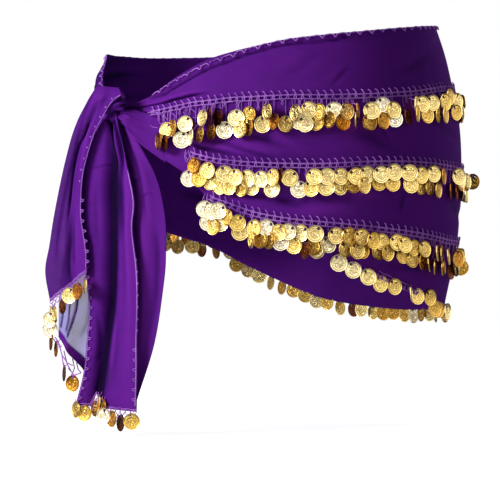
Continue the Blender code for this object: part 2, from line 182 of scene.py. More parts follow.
# On the wrap, as an angle and a height.
WRAP_CREASES = [Crease(*row) for row in (
    (((-39.7, -8.8), (-33.7, -7.2), (-28, -5.6), (-22.7, -4)), 0.8, -1.8, 0.1, 0.2),
    (((-26, -5), (-22.7, -4), (-18.9, -1.5), (-13.4, 1), (-7.7, 2.8), (1, 4.1)), 1.2, -2.4, 0.2, 0.3),
    (((-36.3, -10.3), (-33.3, -12.3), (-29.8, -15), (-25.4, -19.8)), 1.4, -2.0, 0.1, 0.5),
    (((-35.3, -26), (-31, -31.4), (-27.4, -36.2)), 1.6, -1.2, 0.3, 0.5),
    (((-26, -3), (-18, -2), (-10, 1), (-3, 2)), 1.5, -0.9, 0.3, 0.6),
    (((-34, -3), (-28, 0), (-21, 6), (-12, 13)), 1.6, 0.7, 0.3, 0.6),
    (((-17, -33), (-8, -46), (3, -53), (13, -58), (26, -65)), 2.6, -1.5, 0.2, 0.5),
    (((-14, -38), (-7, -43), (1, -47), (10, -52), (19, -59)), 2.2, 0.8, 0.3, 0.5),
    (((2, -43), (12, -51), (21, -57), (28, -61)), 2.4, -1.3, 0.3, 0.5),
    (((6, -33), (16, -38), (25, -46), (33, -54)), 3.2, -1.0, 0.3, 0.5),
    (((2, -80), (11, -88), (20, -95), (33, -103), (41, -106)), 4.4, -1.5, 0.3, 0.5),
    (((-10, -66), (-3, -74), (5, -83), (13, -90)), 2.6, -1.1, 0.3, 0.5),
    (((9, -76), (20, -80), (33, -82), (46, -84)), 8.0, 1.4, 0.3, 0.4),
    (((28, -112), (37, -109), (46, -106), (54, -105)), 7.0, 1.3, 0.4, 0.4),
    (((43, 6), (46, 14), (49, 22), (52, 31)), 2.0, -0.8, 0.4, 0.5),
    (((33, 19), (39, 27), (46, 33)), 4.5, 0.7, 0.4, 0.5),
    (((24, 14), (31, 22), (38, 27), (47, 31)), 5.0, -0.6, 0.4, 0.5),
    (((58, -27), (60, -35), (62, -45)), 1.6, -1.0, 0.4, 0.5),
    (((48, -32), (54, -38), (60, -46), (66, -52)), 5.0, -0.8, 0.4, 0.5),
    (((67, -88), (66, -100), (65, -114)), 2.4, -0.9, 0.4, 0.5),
    (((38, -82), (46, -88), (55, -92), (64, -102)), 5.0, 0.7, 0.4, 0.5),
    (((59, -156), (66, -160), (74, -161), (81, -156)), 3.0, -1.0, 0.3, 0.4),
    (((47, -128), (55, -136), (64, -144), (73, -150)), 3.2, -1.0, 0.3, 0.4),
    (((46, -136), (54, -143), (62, -149), (71, -154)), 4.0, -1.1, 0.3, 0.4),
    (((64, 20), (72, 27), (80, 37), (88, 45)), 5.0, -0.9, 0.4, 0.5),
    (((76, -22), (86, -31), (97, -38)), 4.0, -0.8, 0.4, 0.5),
    (((84, -96), (95, -106), (108, -113), (120, -117)), 5.5, -1.2, 0.3, 0.5),
    (((96, -152), (108, -165), (121, -174)), 4.0, -1.0, 0.3, 0.5),
    (((104, 40), (117, 47), (131, 51)), 4.5, 0.8, 0.4, 0.5),
    (((122, -28), (136, -24), (149, -30)), 5.0, -0.7, 0.4, 0.5),
    (((131, -160), (144, -170), (158, -176)), 5.0, -1.0, 0.3, 0.5),
    (((150, -92), (163, -101), (178, -105), (190, -104)), 5.5, -1.2, 0.3, 0.5),
    (((158, 31), (171, 42), (183, 49)), 4.0, -0.9, 0.4, 0.5),
    (((176, -27), (188, -35), (202, -39)), 4.0, -0.9, 0.4, 0.5),
    (((182, -150), (195, -143), (206, -132)), 4.0, -1.0, 0.3, 0.5),
    (((204, -100), (217, -98), (231, -91), (245, -80)), 5.0, -1.4, 0.5, 0.3),
    (((210, 22), (222, 30), (234, 34)), 4.0, 0.8, 0.4, 0.5),
    (((224, -44), (238, -42), (251, -38), (264, -31)), 4.5, -1.3, 0.5, 0.3),
    (((240, -122), (249, -108), (259, -92)), 3.5, -1.0, 0.5, 0.3),
    (((246, 16), (262, 15), (277, 10), (291, 3), (304, -3)), 3.4, -1.9, 0.6, 0.15),
    (((252, 38), (267, 37), (281, 31), (294, 20)), 3.2, -1.2, 0.5, 0.2),
    (((256, -72), (268, -57), (280, -41), (291, -26), (302, -15)), 3.2, -1.9, 0.6, 0.15),
    (((258, -28), (271, -26), (284, -20), (296, -13)), 3.0, -1.4, 0.6, 0.2),
    (((262, -98), (273, -80), (283, -62), (293, -44)), 2.6, -1.2, 0.5, 0.3),
)]
# On the tails, as x and height.
TAIL_CREASES = {name: [Crease(*row) for row in rows] for name, rows in {
    "tail_outer": (
        (((-135, -18), (-141, -31), (-150, -44), (-158, -69), (-164, -106), (-171, -155)),
         1.7, -2.6, 0.15, 0.3),
        (((-115, 8), (-126, -10), (-137, -36), (-145, -62), (-150, -96)), 2.6, 1.0, 0.1, 0.5),
        (((-146, -24), (-154, -47), (-167, -86), (-179, -135), (-183, -170)), 2.4, -1.3, 0.2, 0.3),
        (((-127, 11), (-139, -9), (-149, -34), (-158, -60)), 2.4, -0.9, 0.1, 0.6),
        (((-160, -92), (-168, -130), (-174, -164)), 2.6, 1.3, 0.4, 0.4),
        (((-160, -125), (-164, -152), (-163, -176)), 2.0, -1.2, 0.5, 0.2),
        (((-152, -96), (-156, -132), (-155, -164)), 2.4, -0.9, 0.5, 0.2),
    ),
    "tail_front": (
        (((-118, -17), (-113, -27), (-109, -45), (-105, -61), (-107, -74)), 1.7, -3.4, 0.05, 0.3),
        (((-112, -18), (-104, -34), (-99, -52), (-99, -78), (-104, -112)), 4.2, -3.4, 0.06, 0.5),
        (((-103, -24), (-97, -44), (-93, -62), (-90, -84)), 1.6, 1.3, 0.1, 0.4),
        (((-141, -65), (-130, -65), (-119, -63), (-107, -62)), 1.3, -0.9, 0.3, 0.4),
        (((-132, -72), (-131, -118), (-126, -168)), 4.0, -0.9, 0.4, 0.5),
        (((-96, -92), (-96, -132), (-94, -182), (-95, -226)), 3.0, -1.1, 0.3, 0.5),
        (((-131, -196), (-128, -232), (-134, -264)), 2.6, -1.1, 0.4, 0.3),
        (((-97, -72), (-98, -97), (-99, -124), (-101, -146)), 5.0, -2.0, 0.3, 0.5),
        (((-105, -205), (-108, -238), (-113, -270)), 2.4, 1.1, 0.4, 0.3),
    ),
    "tail_inner": (
        (((-106, -20), (-95, -42), (-84, -66), (-76, -100), (-72, -140)), 2.6, -1.9, 0.1, 0.5),
        (((-100, -24), (-88, -40), (-76, -58), (-66, -80)), 2.4, 1.2, 0.1, 0.5),
        (((-93, -75), (-86, -78), (-78, -75)), 1.3, -1.2, 0.3, 0.5),
        (((-80, -95), (-71, -91), (-62, -94)), 1.3, -1.1, 0.3, 0.5),
        (((-66, -112), (-62, -150), (-64, -190), (-70, -232)), 3.4, -1.2, 0.3, 0.4),
        (((-80, -150), (-76, -200), (-78, -250)), 3.0, 0.9, 0.3, 0.4),
    ),
    "tail_rear": (
        (((-184, -186), (-187, -200), (-190, -214), (-193, -224)), 1.2, -2.4, 0.1, 0.1),
        (((-174, -186), (-176, -200), (-178, -214), (-184, -228)), 1.2, -2.4, 0.1, 0.1),
        (((-165, -186), (-167, -202), (-173, -218), (-182, -234)), 1.3, -2.6, 0.1, 0.1),
        (((-158, -190), (-160, -214), (-170, -232)), 2.0, 1.0, 0.3, 0.3),
    ),
}.items()}
# The turned-over top edge near the knot: angles, and how deep the fold is there.
TURNED_EDGE = np.array([
    (-31, 0.5), (-26.5, 3.8), (-23, 7.4), (-19, 8.2), (-12, 8.8), (-4, 8.3), (4, 7.9), (8, 6.6),
    (12, 5.4), (19, 4.7), (26, 4), (32, 4.6), (38, 5.5), (46, 5.4), (54, 0),
], float)
# How far below the top edge its crochet chain runs.
CHAIN_DROP = np.array([
    (-31, 0.4), (-26, 1.2), (-23, 2.4), (-18, 3.4), (-12, 3.8), (-4, 3.6), (2, 3.2), (6, 2.4), (10, 1.2),
    (18, 0.6),
], float)


def smooth_between(knots, values, place):
    """Values at some places on a smooth curve through a table's values."""
    slopes = np.gradient(values, knots)
    i = np.clip(np.searchsorted(knots, place) - 1, 0, len(knots) - 2)
    width = knots[i + 1] - knots[i]
    t = (place - knots[i]) / width
    start = values[i] * (1 + 2 * t) + slopes[i] * width * t
    end = values[i + 1] * (3 - 2 * t) + slopes[i + 1] * width * (t - 1)
    return start * (1 - t) ** 2 + end * t**2


def smooth_path(points, share):
    """Places on a smooth path through points, at shares of the way along it."""
    points = np.asarray(points, float)
    steps = np.linspace(0, 1, len(points))
    return np.stack([smooth_between(steps, column, share) for column in points.T], -1)


def bump(distance, half_width):
    return np.exp(-((distance / half_width) ** 2))


def ease(share):
    """A soft step from 0 to 1."""
    share = np.clip(share, 0, 1)
    return share * share * (3 - 2 * share)


def turned_over(angle):
    """How deep the turned-over strip is along the wrap's top edge, near the knot."""
    return np.interp(angle, TURNED_EDGE[:, 0], TURNED_EDGE[:, 1], right=0)


def form_radius(angle, height):
    half_width = smooth_between(FORM[:, 0], FORM[:, 1], height)
    turn = np.radians(angle)
    across = np.abs(np.sin(turn)) / half_width
    along = np.abs(np.cos(turn)) / (half_width * DEPTH_TO_WIDTH)
    return (across**FORM_POWER + along**FORM_POWER) ** (-1 / FORM_POWER)


def edge_height(line, angle):
    return smooth_between(WRAP[:, 0], WRAP[:, LINES[line]], angle)


def on_wrap(angle, height, out=0.0):
    """Points on the wrapped cloth, moved out from its middle surface."""
    angle, height, out = np.broadcast_arrays(*np.atleast_1d(angle, height, out))
    top = edge_height("top", angle)
    place = (top - height) / (top - edge_height("hem", angle))
    from_knot = np.minimum(angle - WRAP[0, 0], WRAP[-1, 0] - angle)
    gather = sum(d * bump(place - at, w) * bump(from_knot, reach) for at, w, d, reach in GATHERS)
    slack = SLACK_OUT * bump(angle - SLACK_ANGLE, SLACK_SPREAD) * bump(height - SLACK_HEIGHT, SLACK_RISE)
    radius = form_radius(angle, height) + CLOTH_OUT + gather + slack + out
    turn = np.radians(angle)
    return np.stack([radius * np.sin(turn), -radius * np.cos(turn), height + 0.0 * radius], -1)


def under_line(line, angle, drop, out):
    """Points on the wrapped cloth below one of its lines."""
    return on_wrap(angle, edge_height(line, angle) - drop, out)


def fold_place(at, down):
    """Where across a tail a fold is, at places down it."""
    return at if isinstance(at, float) else smooth_between(np.array(at[0]), np.array(at[1]), down)


def tail_fold(tail, across, down):
    """How far back a tail's folds draw it."""
    fold = sum(depth * bump(across - fold_place(at, down), width) for at, width, depth in tail.folds)
    return fold * np.minimum(1, down * FOLDS_OPEN)


def on_tail(tail, across, down, out=0.0):
    """Points on a tail, by place across and down (0 to 1), moved out towards the front."""
    across, down, out = np.broadcast_arrays(*np.atleast_1d(across, down, out))
    steps = np.linspace(0, 1, len(tail.rows))
    left, left_height, right, right_height, back = (
        smooth_between(steps, column, down) for column in tail.rows.T
    )
    x = left + (right - left) * across
    height = left_height + (right_height - left_height) * across
    if tail.notch:
        at, width, _ = tail.folds[0]
        notch = bump(across - fold_place(at, down), 0.35 * width)
        height = height + tail.notch * notch * np.abs(down) ** NOTCH_POWER
    front = TAIL_FRONT - TAIL_CURVE * (x - TAIL_MIDDLE) ** 2
    y = -front + tail.layer + back + tail_fold(tail, across, down)
    return np.stack([x, y - out, height], -1)


def crease_depth(places, creases):
    """How far creases push the cloth out at (n, 2) places: each trough has a soft lip on one side."""
    depth = np.zeros(len(places))
    for crease in creases:
        path = smooth_path(crease.points, np.linspace(0, 1, CREASE_STEPS))
        width = crease.half_width
        reach = 5 * width
        near = np.flatnonzero(((places > path.min(0) - reach) & (places < path.max(0) + reach)).all(1))
        run = np.diff(path, axis=0)
        away = places[near, None] - path[:-1]
        part = np.clip((away * run).sum(-1) / (run * run).sum(-1), 0, 1)
        gap = away - part[..., None] * run
        distance = np.hypot(gap[..., 0], gap[..., 1])
        rows, k = np.arange(len(near)), distance.argmin(1)
        along = (k + part[rows, k]) / len(run)
        side = np.sign(run[k, 0] * gap[rows, k, 1] - run[k, 1] * gap[rows, k, 0])
        apart = distance[rows, k] * side
        fade = ease(along / crease.rise) * ease((1 - along) / crease.fall)
        profile = bump(apart, width) - CREASE_LIP * bump(apart - 2 * width, 1.3 * width)
        depth[near] += crease.depth * fade * profile
    return depth


ARC_STEPS = 1441


def arc_table(line):
    """Angles along the wrap, and how far round each is on a line, in millimetres."""
    angles = np.linspace(WRAP[0, 0], WRAP[-1, 0], ARC_STEPS)
    points = on_wrap(angles, edge_height(line, angles))
    steps = np.linalg.norm(np.diff(points, axis=0), axis=1)
    return angles, np.concatenate([[0], np.cumsum(steps)])


ARC_ANGLES, ARC_LENGTHS = arc_table("row_2")


def arc_of(angle):
    """How far round the wrap an angle is, in millimetres, on the middle row's line."""
    return np.interp(angle, ARC_ANGLES, ARC_LENGTHS)


def evenly(line, start, end, pitch):
    """Angles at an even pitch along a line of the wrap."""
    angles, lengths = arc_table(line)
    first, last = np.interp((start, end), angles, lengths)
    count = max(2, round((last - first) / pitch))
    return np.interp(first + (np.arange(count) + 0.5) * (last - first) / count, lengths, angles)


# Meshes


def add_piece(name, points, faces, material, edges=()):
    """A mesh object from points in millimetres."""
    mesh = bpy.data.meshes.new(name)
    mesh.from_pydata((np.asarray(points, float) * MM).tolist(), list(edges), list(faces))
    if material:
        mesh.materials.append(material)
    piece = bpy.data.objects.new(name, mesh)
    bpy.context.scene.collection.objects.link(piece)
    mesh.shade_smooth()
    return piece


def grid_faces(columns, rows, closed=False):
    width = columns + (0 if closed else 1)
    return [
        (j * width + i, (j + 1) * width + i, (j + 1) * width + (i + 1) % width, j * width + (i + 1) % width)
        for j in range(rows)
        for i in range(columns)
    ]


def grid_places(columns, rows):
    """The places of a grid's corners across it and down it, from 0 to 1."""
    across, down = np.meshgrid(np.linspace(0, 1, columns + 1), np.linspace(0, 1, rows + 1))
    return across.ravel(), down.ravel()


def store(mesh, name, values, kind="FLOAT"):
    """A value for each point of a mesh, as an attribute."""
    attribute = mesh.attributes.new(name, kind, "POINT")
    field = "vector" if kind == "FLOAT_VECTOR" else "value"
    attribute.data.foreach_set(field, np.ravel(values).astype(np.float32))


def lay_uv(mesh, name, places):
    """A UV map from a place for each point."""
    corners = np.empty(len(mesh.loops), np.int32)
    mesh.loops.foreach_get("vertex_index", corners)
    layer = mesh.uv_layers.new(name=name)
    layer.data.foreach_set("uv", np.asarray(places, np.float32)[corners].ravel())


# Node trees and materials


def set_inputs(node, inputs):
    """Sets inputs of a node, each to a value or to the output socket that it is linked to."""
    for key, value in inputs.items():
        if isinstance(value, bpy.types.NodeSocket):
            node.id_data.links.new(value, node.inputs[key])
        else:
            node.inputs[key].default_value = value


def add_node(tree, kind, inputs=None, give=None, **settings):
    """Adds a node with its settings and inputs, and gives it, or the output socket that is asked for."""
    node = tree.nodes.new(kind)
    for name, value in settings.items():
        setattr(node, name, value)
    set_inputs(node, inputs or {})
    return node if give is None else node.outputs[give]


def linear(colour):
    """An sRGB hex colour as linear RGBA."""
    channels = [int(colour[i : i + 2], 16) / 255 for i in (1, 3, 5)]
    return (*(c / 12.92 if c <= 0.04045 else ((c + 0.055) / 1.055) ** 2.4 for c in channels), 1.0)


def new_material(name):
    """A new material, the adding of a node to it, and its shader."""
    material = bpy.data.materials.new(name)
    material.use_nodes = True
    tree = material.node_tree
    tree.nodes.clear()
    add = partial(add_node, tree)
    shader = add("ShaderNodeBsdfPrincipled")
    add("ShaderNodeOutputMaterial", {"Surface": shader.outputs["BSDF"]})
    return material, add, shader


def ramp(add, factor, stops):
    node = add("ShaderNodeValToRGB", {"Fac": factor})
    elements = node.color_ramp.elements
    while len(elements) < len(stops):
        elements.new(0.5)
    for element, (position, colour) in zip(elements, stops):
        element.position = position
        element.color = linear(colour)
    return node.outputs["Color"]


UV_SPAN = 1.2  # metres of cloth to one unit of its UV map
WAVE_PERIOD = 0.31416  # a wave texture of scale 1 repeats at this distance


def chiffon(name, lit, deep, edge, clear):
    """Crinkled polyester chiffon: crossed threads and fine crinkles, clearer where it is one layer."""
    material, add, shader = new_material(name)
    cloth = add("ShaderNodeUVMap", None, "UV", uv_map="cloth")
    relief, sheer = (
        add("ShaderNodeAttribute", None, "Fac", attribute_name=title) for title in ("relief", "sheer")
    )
    # Uneven dye and wear, in patches about 60 mm across.
    patches = add("ShaderNodeTexNoise", {
        "Vector": cloth, "Scale": UV_SPAN / 0.06, "Detail": 3.0, "Roughness": 0.55}, "Fac")
    # Crinkles about 9 mm long and 3 mm wide, drawn out along the cloth.
    drawn = add("ShaderNodeMapping", {
        "Vector": cloth, "Scale": (UV_SPAN / 0.018, UV_SPAN / 0.006, 1)}, "Vector")
    crinkle = add("ShaderNodeTexNoise", {
        "Vector": drawn, "Scale": 1.0, "Detail": 4.0, "Roughness": 0.6, "Distortion": 0.8}, "Fac")
    # Threads lie 0.3 mm apart; they are drawn 1.1 mm apart, to show at all.
    threads = {"Vector": cloth, "Scale": UV_SPAN * WAVE_PERIOD / 0.0011, "Distortion": 0.6}
    warp, weft = (
        add("ShaderNodeTexWave", threads, "Fac", bands_direction=way) for way in ("X", "Y")
    )
    weave = add("ShaderNodeMath", {0: warp, 1: weft}, 0, operation="MULTIPLY")
    # Painted shade: the tone starts from the painted shade of the creases and folds, takes uneven dye from
    # the patches, and is painted darker in the crinkles' troughs and lighter on their tops.
    tone = relief
    for part, weight in ((patches, 0.35), (crinkle, 0.22)):
        tone = add("ShaderNodeMath", {0: part, 1: weight, 2: tone}, 0, operation="MULTIPLY_ADD")
    # Lit and shaded copies of the chiffon: a painted deepest shade, the painted crease shade, the lit colour
    # and a painted highlight on the fold tops.
    colour = ramp(add, tone, ((0.0, "#12002A"), (0.3, deep), (0.72, lit), (1.0, edge)))
    pale = add("ShaderNodeMapRange", {"Value": sheer, "From Min": 0.42, "From Max": 0.85}, "Result")
    thin = add("ShaderNodeMix", {0: pale, 6: colour, 7: linear(clear)}, 2, data_type="RGBA")
    # One layer stays nearly solid until it is very thin.
    thinned = add("ShaderNodeMath", {0: sheer, 1: 2.0}, 0, operation="POWER")
    cover = add("ShaderNodeMapRange", {"Value": thinned, "To Min": 1.0, "To Max": 0.25}, "Result")
    rough = add("ShaderNodeMapRange", {
        "Value": crinkle, "From Min": 0.3, "From Max": 0.7, "To Min": 0.62, "To Max": 0.8}, "Result")
    folds = add("ShaderNodeBump", {"Height": crinkle, "Strength": 0.35, "Distance": 0.0008}, "Normal")
    woven = add("ShaderNodeBump", {
        "Height": weave, "Strength": 0.2, "Distance": 0.0002, "Normal": folds}, "Normal")
    set_inputs(shader, {
        "Base Color": thin, "Alpha": cover, "Roughness": rough, "Normal": woven, "IOR": 1.5,
        "Specular IOR Level": 0.05, "Sheen Weight": 0.01, "Sheen Roughness": 0.45,
        "Sheen Tint": linear("#B48CE0")})
    return material


def crochet_cotton(name, light, dark):
    """Mercerised crochet cotton: tightly twisted plies with a silky gloss along them."""
    material, add, shader = new_material(name)
    place = add("ShaderNodeTexCoord", None, "Object")
    # The plies turn round each other about every 1.2 mm.
    plies = add("ShaderNodeTexNoise", {"Vector": place, "Scale": 1 / 0.0012, "Detail": 1.0}, "Fac")
    # The dye has taken unevenly over lengths of about 25 mm.
    dye = add("ShaderNodeTexNoise", {"Vector": place, "Scale": 1 / 0.025, "Detail": 2.0}, "Fac")
    # Painted shade: the colour is darker between the plies, on top of the uneven dye.
    tone = add("ShaderNodeMath", {0: plies, 1: 0.5, 2: dye}, 0, operation="MULTIPLY_ADD")
    twist = add("ShaderNodeBump", {"Height": plies, "Strength": 0.5, "Distance": 0.0003}, "Normal")
    rough = add("ShaderNodeMapRange", {"Value": plies, "To Min": 0.45, "To Max": 0.7}, "Result")
    set_inputs(shader, {
        "Base Color": ramp(add, tone, ((0.45, dark), (0.85, light))), "Roughness": rough, "Normal": twist,
        "IOR": 1.53, "Specular IOR Level": 0.2, "Sheen Weight": 0.12, "Sheen Roughness": 0.4})
    return material


def pressed_gilt(name, hole):
    """Thin gilt brass, pressed between dies: a bright rim and ring, soft relief and painted shade in its
    hollows.
    """
    material, add, shader = new_material(name)
    tint = add("ShaderNodeAttribute", None, "Fac", attribute_name="tint")
    face = add("ShaderNodeUVMap", None, "UV", uv_map="face")
    centred = add("ShaderNodeMapping", {
        "Vector": face, "Location": (0.5, 0.5, 0), "Scale": (0.5, 0.5, 1)}, "Vector", vector_type="TEXTURE")
    radius = add("ShaderNodeVectorMath", {0: centred}, "Value", operation="LENGTH")

    def within(distance, near, far):
        """1 up to one distance, and 0 from a further one on."""
        limits = {"Value": distance, "From Min": near, "From Max": far, "To Min": 1.0, "To Max": 0.0}
        return add("ShaderNodeMapRange", limits, "Result", interpolation_type="SMOOTHSTEP")

    def band(middle, near, far):
        """The same for the distance from a ring round the coin's middle."""
        off = add("ShaderNodeMath", {0: radius, 1: middle}, 0, operation="SUBTRACT")
        return within(add("ShaderNodeMath", {0: off}, 0, operation="ABSOLUTE"), near, far)

    # A ring of 24 beads.
    parts = add("ShaderNodeSeparateXYZ", {"Vector": centred}).outputs
    angle = add("ShaderNodeMath", {0: parts["Y"], 1: parts["X"]}, 0, operation="ARCTAN2")
    turns = add("ShaderNodeMath", {0: angle, 1: 24.0}, 0, operation="MULTIPLY")
    beads = add("ShaderNodeMath", {0: turns}, 0, operation="COSINE")
    beaded = add("ShaderNodeMath", {0: beads, 1: band(0.72, 0.02, 0.06)}, 0, operation="MULTIPLY")
    # Plain meandering relief inside the rings, its lines about 3 mm apart, and each coin's its own.
    figure = add("ShaderNodeMath", {0: tint, 1: 9.0}, 0, operation="MULTIPLY")
    wander = add("ShaderNodeTexNoise", {
        "Vector": centred, "W": figure, "Scale": 2.0, "Detail": 1.0, "Distortion": 1.6}, "Fac",
        noise_dimensions="4D")
    lines = add("ShaderNodeMath", {0: wander, 1: 20.0}, 0, operation="MULTIPLY")
    wave = add("ShaderNodeMath", {0: lines}, 0, operation="SINE")
    height = add("ShaderNodeMath", {0: wave, 1: within(radius, 0.58, 0.68)}, 0, operation="MULTIPLY")
    # The beads stand a little out of it, with a groove round them and a raised rim.
    for part, weight in ((beaded, 0.3), (band(0.80, 0.015, 0.06), -1.1), (band(0.94, 0.04, 0.09), 0.6)):
        height = add("ShaderNodeMath", {0: part, 1: weight, 2: height}, 0, operation="MULTIPLY_ADD")
    relief = add("ShaderNodeBump", {"Height": height, "Strength": 1.0, "Distance": 0.0002}, "Normal")
    gilt = ramp(add, tint, (
        (0.0, "#3E1206"), (0.16, "#8A4612"), (0.34, "#D29A3C"), (0.55, "#EFCC6C"), (0.75, "#F9E6A4"),
        (1.0, "#FFF8DC")))
    # Painted shade: the hollows of the relief are darkened towards a deep brown.
    hollow_shade_mask = add("ShaderNodeMapRange", {
        "Value": height, "From Min": -0.9, "From Max": 0.35, "To Min": 0.56, "To Max": 0.0}, "Result")
    hollow_shaded = add("ShaderNodeMix", {
        0: hollow_shade_mask, 6: gilt, 7: linear("#8A6020")}, 2, data_type="RGBA", blend_type="MULTIPLY")
    # The punched hole's turned-in lip is painted near black, a painted shadow.
    from_hole = add("ShaderNodeVectorMath", {0: centred, 1: (0, hole, 0)}, "Value", operation="DISTANCE")
    hole_shadowed = add("ShaderNodeMix", {
        0: within(from_hole, 0.14, 0.2), 6: hollow_shaded, 7: linear("#140A04")}, 2, data_type="RGBA")
    # Handling marks, a few millimetres across.
    place = add("ShaderNodeTexCoord", None, "Object")
    wear = add("ShaderNodeTexNoise", {"Vector": place, "Scale": 1 / 0.004, "Detail": 3.0}, "Fac")
    rough = add("ShaderNodeMapRange", {"Value": wear, "To Min": 0.18, "To Max": 0.36}, "Result")
    set_inputs(shader, {"Base Color": hole_shadowed, "Roughness": rough, "Normal": relief, "Metallic": 1.0})
    return material


def studio_paper(name, colour):
    """Matt white studio paper, with the faint mottle of its fibres."""
    material, add, shader = new_material(name)
    place = add("ShaderNodeTexCoord", None, "Object")
    fibres = add("ShaderNodeTexNoise", {"Vector": place, "Scale": 1 / 0.05, "Detail": 2.0}, "Fac")
    tone = add("ShaderNodeMix", {
        0: fibres, 6: linear(colour), 7: linear("#FFFFFF")}, 2, data_type="RGBA")
    # Overexposed to the camera, as studio paper is, but no brighter than paper to the scarf.
    seen = add("ShaderNodeLightPath", None, "Is Camera Ray")
    glow = add("ShaderNodeMath", {0: seen, 1: 0.88}, 0, operation="MULTIPLY")
    set_inputs(shader, {
        "Base Color": tone, "Roughness": 0.95, "Specular IOR Level": 0.1,
        "Emission Color": (1, 1, 1, 1), "Emission Strength": glow})
    return material


def kept(name, make, *looks):
    """The material of that name, made when it is first wanted."""
    return bpy.data.materials.get(name) or make(name, *looks)


def cloth_material():
    look = bpy.context.scene.hip_scarf_cloth
    return kept("Chiffon, crinkled polyester", chiffon, look.lit, look.deep, look.edge, look.clear)


def thread_material():
    look = bpy.context.scene.hip_scarf_crochet
    return kept("Crochet cotton, mercerised", crochet_cotton, look.light, look.dark)


def coin_material():
    hole = 2 * HOLE_UP / bpy.context.scene.hip_scarf_coins.diameter
    return kept("Gilt brass, pressed", pressed_gilt, hole)


# Geometry Nodes


def kept_tree(name, inputs, nodes_between):
    """The tree of that name, made when it is first wanted: what its nodes make becomes plain geometry."""
    if name in bpy.data.node_groups:
        return bpy.data.node_groups[name]
    tree = bpy.data.node_groups.new(name, "GeometryNodeTree")
    tree.interface.new_socket("Geometry", in_out="OUTPUT", socket_type="NodeSocketGeometry")
    for title, kind, default in (("Geometry", "Geometry", None), *inputs, ("Material", "Material", None)):
        socket = tree.interface.new_socket(title, in_out="INPUT", socket_type=f"NodeSocket{kind}")
        if default is not None:
            socket.default_value = default
    add = partial(add_node, tree)
    given = add("NodeGroupInput").outputs
    made = nodes_between(add, given)
    real = add("GeometryNodeRealizeInstances", {"Geometry": made}, "Geometry")
    dyed = add("GeometryNodeSetMaterial", {"Geometry": real, "Material": given["Material"]}, "Geometry")
    add("NodeGroupOutput", {"Geometry": dyed})
    return tree


def thread_nodes(add, given):
    """A round thread along every line of edges."""
    lines = add("GeometryNodeMeshToCurve", {"Mesh": given["Geometry"]}, "Curve")
    ring = add("GeometryNodeCurvePrimitiveCircle", {
        "Resolution": given["Sides"], "Radius": given["Thread radius"]}, "Curve")
    tube = add("GeometryNodeCurveToMesh", {
        "Curve": lines, "Profile Curve": ring, "Fill Caps": True}, "Mesh")
    return add("GeometryNodeSetShadeSmooth", {"Geometry": tube}, "Geometry")


THREAD_TREE = ("Thread along edges", (("Thread radius", "Float", 0.0006), ("Sides", "Int", 5)), thread_nodes)


def repeat_nodes(add, given):
    """A copy of a motif on every point, turned as the point says, each a little its own size."""
    pick = add("GeometryNodeJoinGeometry")
    for title in ("Motif C", "Motif B", "Motif A"):
        motif = add("GeometryNodeObjectInfo", {
            "Object": given[title]}, "Geometry", transform_space="ORIGINAL")
        whole = add("GeometryNodeGeometryToInstance", {"Geometry": motif}, "Instances")
        set_inputs(pick, {"Geometry": whole})
    turn, tint = (
        add("GeometryNodeInputNamedAttribute", {"Name": title}, "Attribute", data_type=kind)
        for title, kind in (("turn", "FLOAT_VECTOR"), ("tint", "FLOAT"))
    )
    points = add("GeometryNodeMeshToPoints", {"Mesh": given["Geometry"]}, "Points")
    size = add("FunctionNodeRandomValue", {
        2: given["Smallest"], 3: given["Largest"], "Seed": given["Seed"]}, 1, data_type="FLOAT")
    choice = add("FunctionNodeRandomValue", {4: 0, 5: 2, "Seed": given["Seed"]}, 2, data_type="INT")
    copies = add("GeometryNodeInstanceOnPoints", {
        "Points": points, "Instance": pick.outputs["Geometry"], "Pick Instance": True,
        "Instance Index": choice, "Rotation": turn, "Scale": size}, "Instances")
    return add("GeometryNodeStoreNamedAttribute", {
        "Geometry": copies, "Name": "tint", "Value": tint}, "Geometry", data_type="FLOAT", domain="INSTANCE")


REPEAT_TREE = ("Motif on points", (
    *((f"Motif {letter}", "Object", None) for letter in "ABC"),
    ("Smallest", "Float", 0.97), ("Largest", "Float", 1.03), ("Seed", "Int", 7),
), repeat_nodes)


def grown(piece, tree_of, **given):
    """Runs a tree on a piece and keeps the result as its plain mesh."""
    tree = kept_tree(*tree_of)
    modifier = piece.modifiers.new(tree.name, "NODES")
    modifier.node_group = tree
    for item in tree.interface.items_tree:
        key = item.name.replace(" ", "_").lower()
        if item.in_out == "INPUT" and key in given:
            modifier[item.identifier] = given[key]
    graph = bpy.context.evaluated_depsgraph_get()
    mesh = bpy.data.meshes.new_from_object(
        piece.evaluated_get(graph), preserve_all_data_layers=True, depsgraph=graph
    )
    piece.modifiers.remove(modifier)
    piece.data = mesh
    mesh.name = piece.name
    return piece


def add_threads(name, lines, radius, sides=4):
    """Threads along many lines of points in millimetres, as one mesh."""
    points = np.concatenate([np.asarray(line, float) for line in lines])
    edges = []
    first = 0
    for line in lines:
        edges += [(first + i, first + i + 1) for i in range(len(line) - 1)]
        first += len(line)
    piece = add_piece(name, points, (), None, edges)
    return grown(piece, THREAD_TREE, thread_radius=radius * MM, sides=sides, material=thread_material())


def repeat(name, motifs, points, turns, material, tints=None, spread=0.03, seed=7):
    """Copies of three motifs on points, as one mesh."""
    piece = add_piece(name, points, (), None)
    store(piece.data, "turn", turns, "FLOAT_VECTOR")
    store(piece.data, "tint", np.full(len(points), 0.5) if tints is None else tints)
    return grown(
        piece, REPEAT_TREE, motif_a=motifs[0], motif_b=motifs[1], motif_c=motifs[2],
        smallest=1 - spread, largest=1 + spread, seed=seed, material=material,
    )


def drop_motifs(motifs):
    for motif in set(motifs):
        bpy.data.objects.remove(motif)


def frames(across, up, out):
    """Rotation matrices whose columns are a piece's right, its back and its up, for (n, 3) directions."""
    across = across / np.linalg.norm(across, axis=-1, keepdims=True)
    back = np.cross(up, across)
    back /= np.linalg.norm(back, axis=-1, keepdims=True)
    back *= np.where((back * out).sum(-1, keepdims=True) > 0, -1, 1)
    up = np.cross(across, back)
    return np.stack([across, back, up], -1)


